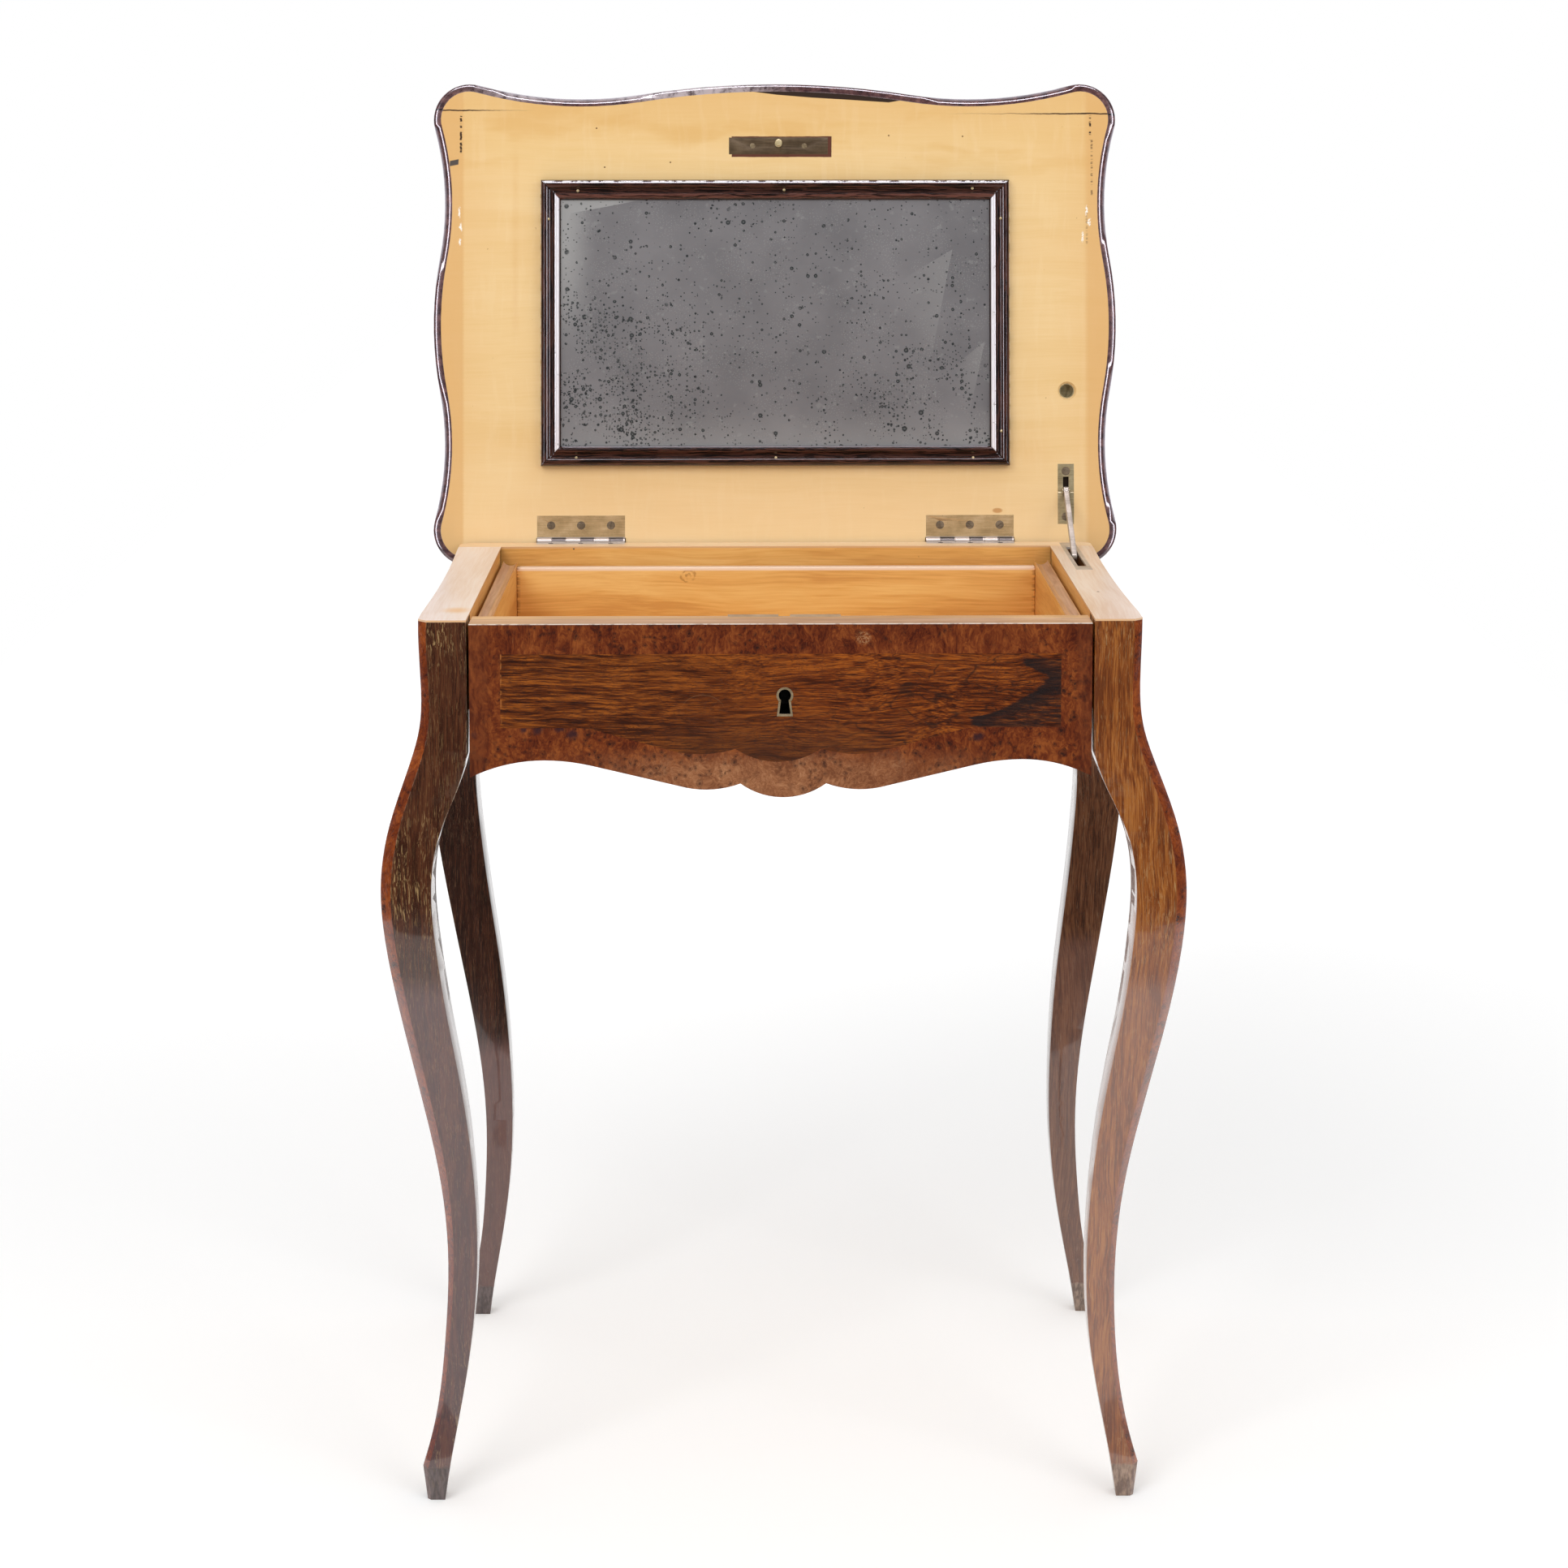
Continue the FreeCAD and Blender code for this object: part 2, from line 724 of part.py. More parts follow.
def case_leaf_space(side):
    reach = s.hinge_length / 2
    return block(
        "leaf_%s_space" % side_name(side),
        across(side, hinge_middle - reach, hinge_middle + reach),
        (axis_place - s.case_leaf_width, back + s.overrun), (leg_top, s.case_height + s.overrun))


def make_caps():
    """The pale facing that covers the tops of the rails and legs: two sides and a rear strip."""
    facet = s.facet_width * LEG_OUTER_SHARES[-1][2]
    for side in (-1, 1):
        name = side_name(side)
        points = [
            (inner_half * side, front, None),
            ((half_width - facet) * side, front, None),
            (half_width * side, front + facet, None),
            (half_width * side, side_front, s.side_hollow * side),
            (half_width * side, side_back, None),
            (half_width * side, rail_front, None),
            (inner_half * side, rail_front, None)]
        cap = plate("cap_%s_facing" % name, "XY_Plane", points, leg_top, s.case_height)
        if side > 0:
            cap = cut("cap_let_in", cap, stay_well("cap"), slot_plate_space("cap"))
        part(cap, "rail_cap_" + name)
    corner = facet * REAR_CORNER_SHARE
    bulge = corner * (1 - 1 / math.sqrt(2))
    rear = plate("cap_rear_facing", "XY_Plane", [
        (half_width, rail_front, None),
        (half_width, back - corner, -bulge),
        (half_width - corner, back, None),
        (corner - half_width, back, -bulge),
        (-half_width, back - corner, None),
        (-half_width, rail_front, None)], leg_top, s.case_height)
    part(cut(
        "cap_rear_let_in", rear, slot_plate_space("rear_cap"),
        case_leaf_space(-1), case_leaf_space(1), case_screws("cap_screw")), "rail_cap_rear")


# Hinges

def hinge_segments(side):
    """The six knuckles of a hinge from left to right, as reaches along X with a gap between them."""
    start = hinge_middle * side - s.hinge_length / 2
    step = s.hinge_length / 6
    gap = s.knuckle_gap / 2
    return [(start + step * index + gap, start + step * (index + 1) - gap) for index in range(6)]


def knuckles(name, side, first, height, radius, wider):
    """Every second knuckle of a hinge, starting with the first or the second, round the pin's line."""
    bars = []
    for index, (low, high) in enumerate(hinge_segments(side)):
        if index % 2 == first:
            start = (low - wider, height[0], height[1])
            bars.append(round_bar(name + "_%d" % index, "x", start, high - low + wider * 2, radius))
    return bars


def screws(name, places, top, head, shank, sunk):
    """Screws with a flat head let in flush: the places of their middles, going down from top."""
    made = []
    for index, (x, y) in enumerate(places):
        cap = round_bar(name + "_head_%d" % index, "z", (x, y, top - sunk), sunk, head)
        end = top - s.screw_length
        stem = round_bar(name + "_shank_%d" % index, "z", (x, y, end), s.screw_length - sunk, shank)
        made.append(fuse(name + "_%d" % index, cap, stem))
    return group(name + "_set", made)


def hinge_screw_places(reach):
    return [(hinge_middle * side + s.hinge_screw_spacing * step, reach)
            for side in (-1, 1) for step in (-1, 0, 1)]


def case_screws(name):
    return screws(
        name, hinge_screw_places(axis_place - s.case_screw_reach), s.case_height,
        s.screw_small, s.screw_small_shank, s.hinge_leaf)


def lid_screws(name):
    return screws(
        name, hinge_screw_places(s.lid_screw_reach), underside,
        s.screw_radius, s.screw_shank, s.hinge_leaf)


def make_hinges():
    """Two hinges: a leaf on the rail, a leaf on the lid, three knuckles on each, and a pin."""
    reach = s.hinge_length / 2
    whole = s.hinge_length + s.overrun * 2
    bore = s.pin_radius + s.pin_fit
    swing = s.knuckle_radius + s.knuckle_gap
    for side in (-1, 1):
        name = side_name(side)
        x = (hinge_middle * side - reach, hinge_middle * side + reach)
        case_line = (axis_place, axis_height)
        leaf = block(
            "case_%s_leaf" % name, x, (axis_place - s.case_leaf_width, axis_place),
            (leg_top, s.case_height))
        leaf = cut(
            "case_%s_leaf_cleared" % name, leaf,
            *knuckles("case_%s_space" % name, side, 0, case_line, swing, s.knuckle_gap))
        leaf = fuse(
            "case_%s_leaf_knuckles" % name, leaf,
            *knuckles("case_%s_knuckle" % name, side, 1, case_line, s.knuckle_radius, as_size(0)))
        part(cut(
            "case_%s_leaf_bored" % name, leaf,
            round_bar("case_%s_bore" % name, "x", (x[0] - s.overrun,) + case_line, whole, bore),
            case_screws("case_%s_screw_hole" % name)), "hinge_case_leaf_" + name)
        rod = round_bar("hinge_%s_rod" % name, "x", (x[0],) + case_line, s.hinge_length, s.pin_radius)
        part(rod, "hinge_pin_" + name)
        lid_line = (0, 0)
        leaf = block(
            "lid_%s_leaf" % name, x, (0, s.lid_leaf_width), (underside - s.hinge_leaf, underside))
        leaf = cut(
            "lid_%s_leaf_cleared" % name, leaf,
            *knuckles("lid_%s_space" % name, side, 1, lid_line, swing, s.knuckle_gap))
        leaf = fuse(
            "lid_%s_leaf_knuckles" % name, leaf,
            *knuckles("lid_%s_knuckle" % name, side, 0, lid_line, s.knuckle_radius, as_size(0)))
        lid_part(cut(
            "lid_%s_leaf_bored" % name, leaf,
            round_bar("lid_%s_bore" % name, "x", (x[0] - s.overrun,) + lid_line, whole, bore),
            lid_screws("lid_%s_screw_hole" % name)), "hinge_lid_leaf_" + name)
    part(case_screws("case_screw"), "hinge_case_screws")
    lid_part(lid_screws("lid_screw"), "hinge_lid_screws")


# Stay

def make_stay():
    """The flush slotted plate on the rail, the slotted plate on the lid, and the arm between them."""
    reach = s.slot_plate_width / 2
    slot = s.slot_width / 2
    rail_plate = plate(
        "slot_plate", "XY_Plane",
        rectangle((stay_line - reach, stay_line + reach),
                  (slot_plate_front, slot_plate_front + s.slot_plate_length)),
        s.case_height - s.slot_plate_thickness, s.case_height)
    part(pocket(
        rail_plate, "XY_Plane",
        rectangle((stay_line - slot, stay_line + slot),
                  (slot_front, slot_front + s.slot_length)),
        s.case_height - s.slot_plate_thickness, s.case_height), "stay_slot_plate")
    pivot = (s.stay_pivot_reach, underside + s.stay_pivot_rise)
    half_slot = s.lid_slot_width / 2
    ears = [round_bar(
        "stay_ear_%d" % index, "x", (x,) + pivot, s.stay_ear, s.stay_ear_radius)
        for index, x in enumerate((stay_line - half_slot - s.stay_ear, stay_line + half_slot))]
    plate_reach = s.lid_plate_width / 2
    base = block(
        "lid_plate", (stay_line - plate_reach, stay_line + plate_reach),
        (s.lid_plate_near, s.lid_plate_far), (underside - s.lid_plate_thickness, underside))
    lid_part(cut(
        "lid_plate_pierced", fuse("lid_plate_eared", base, *ears), stay_pocket("lid_plate"),
        round_bar("lid_plate_bore", "x", (stay_line - plate_reach,) + pivot, s.lid_plate_width,
                  s.stay_pin_radius + s.pin_fit),
        stay_screws("lid_plate_screw_hole")), "stay_lid_plate")
    lid_part(stay_screws("stay_screw"), "stay_lid_screws")
    pin_start = stay_line - half_slot - s.stay_ear
    pin_length = s.lid_slot_width + s.stay_ear * 2
    rod = round_bar("stay_rod", "x", (pin_start,) + pivot, pin_length, s.stay_pin_radius)
    lid_part(group("stay_rod_set", [rod]), "stay_pin")
    width = s.stay_width / 2
    edge = s.stay_bar / 2
    bar = block("stay_bar_length", (-width, width), (0, s.stay_length), (-edge, edge))
    nose = round_bar("stay_nose", "x", (-width, s.stay_length, 0), s.stay_width, edge)
    eye = round_bar("stay_eye_round", "x", (-width, 0, 0), s.stay_width, s.stay_eye)
    hole = round_bar(
        "stay_eye_bore", "x", (-s.stay_width, 0, 0), s.stay_width * 2, s.stay_pin_radius + s.pin_fit)
    arm = cut("stay_arm_bored", fuse("stay_arm_bar", bar, nose, eye), hole)
    arm.Placement = FreeCAD.Placement(FreeCAD.Vector(), FreeCAD.Rotation(FreeCAD.Vector(1, 0, 0), 1))
    bind(arm, "Placement.Base.x", stay_line)
    bind(arm, "Placement.Base.y", axis_place + pivot[0] * lean_sine - pivot[1] * lean_cosine)
    bind(arm, "Placement.Base.z", axis_height + pivot[0] * lean_cosine + pivot[1] * lean_sine)
    bind(arm, "Placement.Rotation.Angle", HALF_TURN + s.stay_slope)
    part(arm, "stay_arm")


def stay_pocket(owner):
    """The hollow in the lid behind the plate's slot, where the arm's eye turns."""
    reach = s.lid_slot_width / 2
    near = s.stay_pivot_reach - s.stay_eye - s.barrel_gap
    deep = underside + s.stay_pivot_rise - s.stay_eye - s.barrel_gap
    return block(
        owner + "_slot", (stay_line - reach, stay_line + reach), (near, s.lid_slot_far),
        (deep, underside + s.overrun * 2))


def stay_screws(name):
    places = [(stay_line, s.lid_plate_near + s.lid_plate_screw_inset),
              (stay_line, s.lid_plate_far - s.lid_plate_screw_inset)]
    return screws(name, places, underside, s.screw_radius, s.screw_shank, s.lid_plate_thickness)


# Lid

def hollow_radius(along, deep, corner):
    """The radius of a hollow that runs smoothly into a corner's circle a given way along and deep."""
    return (along ** 2 + deep ** 2 - corner ** 2) / (2 * (corner - deep))


def hump_radius(along, deep, hollow):
    """The radius of a hump that runs smoothly into a hollow a given way along and deep."""
    return (along ** 2 + deep ** 2) / (2 * deep) - hollow


def lid_circles():
    """The circles of the lid's wavy edge in order, as (x, y, radius, 1 outside or -1 for a hollow)."""
    wide = lid_half.number
    deep = lid_depth.number / 2
    corner = s.lid_corner.number
    place = wide * LID_HOLLOW_SHARE
    dip = s.lid_hollow_depth.number
    side_place = deep * LID_SIDE_SHARE
    side_dip = s.lid_side_depth.number
    hollow = hollow_radius(wide - corner - place, corner - dip, corner)
    hump = hump_radius(place, dip, hollow)
    side_hollow = hollow_radius(deep - corner - side_place, corner - side_dip, corner)
    side_hump = hump_radius(side_place, side_dip, side_hollow)
    quarter = [
        (0, deep - hump, hump, 1),
        (place, deep - dip + hollow, hollow, -1),
        (wide - corner, deep - corner, corner, 1),
        (wide - side_dip + side_hollow, side_place, side_hollow, -1),
        (wide - side_hump, 0, side_hump, 1)]
    right = quarter + [(x, -y, radius, turn) for x, y, radius, turn in reversed(quarter[:-1])]
    left = [(-x, y, radius, turn) for x, y, radius, turn in reversed(right[1:-1])]
    return right + left


def lid_outline(shrink):
    """The lid's edge, drawn in by a given length all round, as a face on the underside's plane."""
    ring = []
    for x, y, radius, turn in lid_circles():
        ring.append((FreeCAD.Vector(x, lid_middle.number + y, 0), radius - turn * shrink))
    touches = []
    for (middle, radius), (next_middle, next_radius) in zip(ring, ring[1:] + ring[:1]):
        touches.append(middle + (next_middle - middle) * (radius / (radius + next_radius)))
    edges = []
    for index, (middle, radius) in enumerate(ring):
        start = touches[index - 1]
        end = touches[index]
        outward = (start - middle) + (end - middle)
        outward.normalize()
        edges.append(Part.Arc(start, middle + outward * radius, end).toShape())
    return Part.Face(Part.Wire(edges))


def lid_layer(name, outer, inner, low, high):
    """A layer of the lid between two levels, out to one line and, where given, in to another."""
    face = lid_outline(outer)
    face.translate(FreeCAD.Vector(0, 0, low.number))
    solid = face.extrude(FreeCAD.Vector(0, 0, high.number - low.number))
    if inner is not None:
        hole = lid_outline(inner)
        hole.translate(FreeCAD.Vector(0, 0, low.number))
        solid = solid.cut(hole.extrude(FreeCAD.Vector(0, 0, high.number - low.number)))
    return solid


def rounded_edge(inner):
    """The moulding round the lid, half round on its outside and in to the board's own line."""
    radius = s.lid_edge_round.number
    levels = ((underside - s.lid_thickness).number, underside.number)
    rings = []
    for side, level in zip((1, -1), levels):
        for step in range(EDGE_STEPS + 1):
            turned = math.radians(90 * step / EDGE_STEPS)
            face = lid_outline(radius * (1 - math.sin(turned)))
            face.translate(FreeCAD.Vector(0, 0, level + side * radius * (1 - math.cos(turned))))
            rings.append((level + side * radius * (1 - math.cos(turned)), face.OuterWire))
    rings.sort(key=lambda ring: ring[0])
    outside = Part.makeLoft([wire for _, wire in rings], True, True)
    hole = lid_outline(inner)
    hole.translate(FreeCAD.Vector(0, 0, levels[0]))
    return outside.cut(hole.extrude(FreeCAD.Vector(0, 0, levels[1] - levels[0])))


def hinge_spaces(name):
    """The recesses in the lid for the hinge leaves and, deeper, for their barrels."""
    reach = s.hinge_length / 2
    round_reach = s.knuckle_radius + s.barrel_gap
    spaces = []
    for side in (-1, 1):
        x = (hinge_middle * side - reach, hinge_middle * side + reach)
        spaces.append(block(
            "%s_leaf_%s" % (name, side_name(side)), x, (0, s.lid_leaf_width),
            (underside - s.hinge_leaf, underside + s.overrun)))
        spaces.append(block(
            "%s_barrel_%s" % (name, side_name(side)), (x[0] - s.barrel_gap, x[1] + s.barrel_gap),
            (-round_reach, round_reach), (-round_reach, underside + s.overrun)))
    return spaces


def make_lid():
    """The board and its end clamps, the rounded edge, and the veneers of the show side."""
    board_low = underside - s.lid_thickness + s.veneer
    edge = s.lid_edge.number
    whole = formed("lid_inside", lid_layer("lid_inside", edge, None, board_low, underside))
    wide = (board_low - s.overrun, underside + s.overrun)
    long = (lid_middle - lid_depth, lid_middle + lid_depth)
    middle = common("lid_board", whole, block("lid_board_width", (-clamp_line, clamp_line), long, wide))
    lid_part(cut(
        "lid_board_let_in", middle, lid_plate_space(), stay_pocket("lid_board"), strike_space(),
        cup_space(), lid_screws("lid_board_screw"), stay_screws("board_stay_screw"),
        strike_screws("board_strike_screw"), *hinge_spaces("board")), "lid_panel")
    for side in (-1, 1):
        name = side_name(side)
        strip = block(
            "clamp_%s_width" % name, across(side, clamp_line, lid_half + s.overrun), long, wide)
        lid_part(common("clamp_%s_strip" % name, whole, strip), "lid_clamp_" + name)
    rounded = formed("lid_edge_ring", rounded_edge(edge))
    lid_part(cut("lid_edge_let_in", rounded, *hinge_spaces("edge")), "lid_edge_moulding")
    low = underside - s.lid_thickness
    field = edge + s.top_band.number
    lid_part(formed("top_field", lid_layer("top_field", field, None, low, board_low)), "lid_top_field")
    lid_part(formed("top_border", lid_layer("top_border", edge, field, low, board_low)), "lid_top_band")


def lid_plate_space():
    reach = s.lid_plate_width / 2
    return block(
        "lid_plate_space", (stay_line - reach, stay_line + reach), (s.lid_plate_near, s.lid_plate_far),
        (underside - s.lid_plate_thickness, underside + s.overrun))


def strike_space():
    reach = s.strike_width / 2
    return block(
        "strike_space", (s.lock_offset - reach, s.lock_offset + reach), (strike_near, strike_far),
        (underside - s.strike_thickness, underside + s.overrun))


def strike_screws(name):
    middle = (strike_near + strike_far) / 2
    places = [(s.lock_offset + s.strike_screw_spacing * step / 2, middle) for step in (-1, 1)]
    return screws(
        name, places, underside, s.screw_small, s.screw_small_shank, s.strike_thickness)


def cup_space():
    """The round socket in the lid: a widened mouth and the bore that takes the brass cup."""
    outer = s.cup_radius + s.cup_wall
    mouth_low = underside - s.cup_countersink
    mouth = round_bar(
        "cup_mouth", "z", (cup_line, s.cup_reach, mouth_low), s.cup_countersink, outer, s.cup_mouth)
    bore = round_bar(
        "cup_bore", "z", (cup_line, s.cup_reach, underside - s.cup_depth), s.cup_depth, outer)
    return fuse("cup_hole", mouth, bore)


def make_lid_fittings():
    """The strike plate with its stud, the brass cup, and their screws."""
    reach = s.strike_width / 2
    strike = block(
        "strike_bar", (s.lock_offset - reach, s.lock_offset + reach), (strike_near, strike_far),
        (underside - s.strike_thickness, underside))
    lid_part(cut("strike_bored", strike, strike_screws("strike_screw_hole")), "strike_plate")
    lid_part(strike_screws("strike_screw"), "strike_screws")
    centre = (s.lock_offset, stud_reach)
    foot = round_bar("stud_foot", "z", centre + (underside,), s.stud_foot_height, s.stud_foot_radius)
    neck = round_bar("stud_neck", "z", centre + (underside,), s.stud_length, s.stud_neck_radius)
    head = round_bar(
        "stud_head", "z", centre + (underside + s.stud_length - s.stud_head_height,),
        s.stud_head_height, s.stud_head_radius)
    lid_part(fuse("stud_turned", foot, neck, head), "strike_stud")
    place_of_cup = (cup_line, s.cup_reach)
    depth = s.cup_depth - s.cup_countersink
    outside = round_bar(
        "cup_outside", "z", place_of_cup + (underside - s.cup_depth,), depth, s.cup_radius + s.cup_wall)
    inside = round_bar(
        "cup_inside", "z", place_of_cup + (underside - s.cup_depth + s.cup_wall,), depth, s.cup_radius)
    lid_part(cut("cup_turned", outside, inside), "socket_cup")


# Mirror

def moulding_section():
    """The frame moulding's corners as (in from its outer edge, up from the lid), with the glass rebate."""
    width = s.frame_moulding.number
    rise = s.frame_rise.number
    glass_top = s.glass_backing.number + s.glass_thickness.number
    rebate = width - s.frame_rebate.number
    crown = [(x * width, z * rise) for x, z in MOULDING_SHARES]
    return [(0, 0)] + crown + [(width, glass_top), (rebate, glass_top), (rebate, 0)]


def make_mirror():
    """The looking glass on its backing, held by four mitred mouldings."""
    half = s.frame_width.number / 2
    near = s.frame_near.number
    far = frame_far.number
    level = underside.number
    corners = {
        "bottom": ((-half, near, 1, 1), (half, near, -1, 1)),
        "right": ((half, near, -1, 1), (half, far, -1, -1)),
        "top": ((half, far, -1, -1), (-half, far, 1, -1)),
        "left": ((-half, far, 1, -1), (-half, near, 1, 1))}
    for name, ends in corners.items():
        wires = []
        for x, y, in_x, in_y in ends:
            points = [FreeCAD.Vector(x + in_x * inward, y + in_y * inward, level + up)
                      for inward, up in moulding_section()]
            wires.append(Part.makePolygon(points + points[:1]))
        lid_part(formed("moulding_" + name, Part.makeLoft(wires, True, True)), "mirror_moulding_" + name)
    inset = s.frame_moulding - s.frame_rebate
    x = (inset - s.frame_width / 2, s.frame_width / 2 - inset)
    y = (s.frame_near + inset, frame_far - inset)
    middle = underside + s.glass_backing
    backing = block("backing_sheet", x, y, (underside, middle))
    glass = block("glass_sheet", x, y, (middle, middle + s.glass_thickness))
    lid_part(group("backing_laid", [backing]), "mirror_backing")
    lid_part(group("glass_laid", [glass]), "mirror_glass")


# Drawer

def key_form(name, grow, y):
    """A keyhole's outline grown by a given width: a round head and a spreading foot."""
    x = s.lock_offset
    head = drawer_top - s.keyhole_drop
    foot = head - s.keyhole_length - grow
    neck_reach = s.keyhole_neck + grow
    foot_reach = s.keyhole_foot + grow
    round_head = round_bar(name + "_head", "y", (x, y[0], head), y[1] - y[0], s.keyhole_round + grow)
    spread = plate(name + "_foot", "XZ_Plane", [
        (x - foot_reach, foot, None), (x + foot_reach, foot, None),
        (x + neck_reach, head, None), (x - neck_reach, head, None)], y[0], y[1])
    return fuse(name, round_head, spread)


def field_outline():
    """The inlaid field of the drawer front, straight above and lobed below."""
    end = drawer_top - s.field_end_drop
    top = drawer_top - s.field_top_drop
    half = drawer_half - s.field_border
    places = (
        (half * FIELD_SHOULDER_SHARE, s.field_end_drop), (half * FIELD_TURN_SHARE, s.field_turn_drop),
        (half * FIELD_LOBE_SHARE, s.field_lobe_start_drop), (cusp_half, s.field_cusp_drop))
    right = [(x - s.field_shift, drawer_top - drop) for x, drop in places]
    left = [(-x - s.field_shift, drawer_top - drop) for x, drop in reversed(places)]
    rises = (
        None, -s.field_shoulder_rise, None, s.field_lobe_rise, s.field_centre_drop - s.field_cusp_drop,
        s.field_lobe_rise, None, -s.field_shoulder_rise, None, None, None, None)
    line = [(half, end)] + right + left + [(-half, end), (-half, top), (half, top)]
    return [(x, z, rise) for (x, z), rise in zip(line, rises)]


def lock_places():
    """The lock's reaches along X, Y and Z, with its top plate above it."""
    reach = s.lock_width / 2
    start = drawer_inner - s.lock_let_in
    return (
        (s.lock_offset - reach, s.lock_offset + reach),
        (start, start + s.lock_depth),
        (drawer_top - s.lock_height, drawer_top - s.lock_plate))


def make_drawer_front():
    """The drawer front: a shaped core faced with a burr border, an inlaid field and the keyhole's rim."""
    top = [(-drawer_half, drawer_top, None), (drawer_half, drawer_top, None)]
    outline = skirt_line(drawer_half) + top
    face = (front, front + s.veneer)
    band = plate("front_band", "XZ_Plane", outline, face[0], face[1])
    part(pocket(band, "XZ_Plane", field_outline(), face[0], face[1]), "drawer_front_band")
    field = plate("front_field", "XZ_Plane", field_outline(), face[0], face[1])
    long = (front - s.overrun, drawer_inner + s.overrun)
    hole = key_form("field_key", s.keyhole_rim, long)
    part(cut("front_field_pierced", field, hole), "drawer_front_field")
    part(cut(
        "escutcheon_pierced", key_form("escutcheon_rim", s.keyhole_rim, face),
        key_form("escutcheon_key", 0, long)), "escutcheon")
    core = plate("front_core", "XZ_Plane", outline, face[1], drawer_inner)
    lock_x, lock_y, lock_z = lock_places()
    lock_space = block(
        "lock_space", lock_x, (lock_y[0], drawer_inner + s.overrun), (lock_z[0], drawer_top + s.overrun))
    groove_reach = wall_inner + s.bottom_groove
    groove = block(
        "front_groove", (-groove_reach, groove_reach),
        (drawer_inner - s.bottom_groove, drawer_inner + s.overrun), bottom_levels())
    part(cut(
        "front_core_let_in", core, lock_space, groove, key_form("core_key", 0, long)), "drawer_front_core")


def bottom_levels():
    low = wall_bottom + s.bottom_lift
    return (low, low + s.bottom_thickness)


def make_drawer_box():
    """The drawer's sides, grooved for the runners and the bottom, its low back and its bottom."""
    runner_top = s.case_height - s.runner_drop
    for side in (-1, 1):
        name = side_name(side)
        x = across(side, wall_inner, wall_outer)
        shoulder = wall_top - s.drawer_side_round
        wall = plate("wall_" + name, "XZ_Plane", [
            (x[0], wall_bottom, None), (x[1], wall_bottom, None),
            (x[1], shoulder, s.drawer_side_round), (x[0], shoulder, None)], drawer_inner, wall_back)
        length = (drawer_inner - s.overrun, wall_back + s.overrun)
        runner_groove = block(
            "wall_%s_runner" % name,
            across(side, wall_outer - s.runner_grip - s.slide_gap, wall_outer + s.overrun), length,
            (runner_top - s.runner_height - s.slide_gap, runner_top + s.slide_gap))
        bottom_slot = block(
            "wall_%s_bottom" % name, across(side, wall_inner - s.overrun, wall_inner + s.bottom_groove),
            length, bottom_levels())
        line = wall_outer - s.drawer_wall * s.scribed_line_share
        scribed = block(
            "wall_%s_line" % name, across(side, line - s.scribed_line, line), length,
            (wall_top - s.scribed_line * 2, wall_top + s.overrun))
        grooved = cut("wall_%s_grooved" % name, wall, runner_groove, bottom_slot, scribed)
        part(grooved, "drawer_side_" + name)
    back_end = wall_back - s.back_inset
    low, high = bottom_levels()
    part(block(
        "back_panel", (-wall_inner, wall_inner), (back_end - s.back_thickness, back_end),
        (high, drawer_top - s.back_drop)), "drawer_back")
    reach = wall_inner + s.bottom_groove
    panel = block("bottom_panel", (-reach, reach), (drawer_inner - s.bottom_groove, back_end), (low, high))
    part(panel, "drawer_bottom")


def bolt_places(spare):
    """The bolt's reaches inside the lock, with some spare room all round."""
    right = s.lock_offset - s.notch_width / 2 - s.bolt_set_back
    top = drawer_top - s.lock_plate - s.slide_gap * 2
    return (
        (right - s.bolt_length - spare, right + spare),
        (stud_place - s.bolt_depth / 2 - spare, stud_place + s.bolt_depth / 2 + spare),
        (top - s.bolt_thickness - spare, top + spare))


def make_lock():
    """The lock let into the drawer front, its top plate, and the forked bolt that holds the lid's stud."""
    x, y, z = lock_places()
    reach = s.notch_width / 2
    notch = [block(
        name, (s.lock_offset - reach, s.lock_offset + reach),
        (stud_place - s.stud_head_radius - s.stud_gap, y[1] + s.overrun),
        (drawer_top - s.notch_depth, drawer_top + s.overrun)) for name in ("lock_notch", "plate_notch")]
    case = block("lock_box", x, y, z)
    bolt_x, bolt_y, bolt_z = bolt_places(s.slide_gap)
    channel = block("bolt_channel", (bolt_x[0], s.lock_offset), bolt_y, bolt_z)
    key = key_form("lock_key", 0, (y[0] - s.overrun, y[1] - s.lock_wall * 2))
    part(cut("lock_box_cut", case, notch[0], channel, key), "lock_case")
    top = block("lock_top", x, y, (z[1], drawer_top))
    part(cut("lock_top_notched", top, notch[1]), "lock_top_plate")
    bolt_x, bolt_y, bolt_z = bolt_places(0)
    bar = block("bolt_bar", bolt_x, bolt_y, bolt_z)
    half_slot = s.stud_neck_radius + s.slide_gap
    slot = block(
        "bolt_slot_cut", (bolt_x[1] - s.bolt_slot, bolt_x[1] + s.overrun),
        (stud_place - half_slot, stud_place + half_slot), (bolt_z[0] - s.overrun, bolt_z[1] + s.overrun))
    part(cut("bolt_forked", bar, slot), "lock_bolt")


def check_document():
    """Stops when any object failed, or a finished piece is missing or not a sound solid."""
    for thing in doc.Objects:
        if "Invalid" in thing.State or "Error" in thing.State:
            raise RuntimeError(thing.Name + " failed: " + ", ".join(thing.State))
    for thing in PARTS:
        if thing.Shape.isNull() or not thing.Shape.isValid() or not thing.Shape.Solids:
            raise RuntimeError(thing.Label + " is not a sound solid")


def write_parts():
    os.makedirs("parts", exist_ok=True)
    for thing in PARTS:
        thing.Shape.exportStep("parts/" + thing.Label + ".step")
    print(len(PARTS), "pieces")


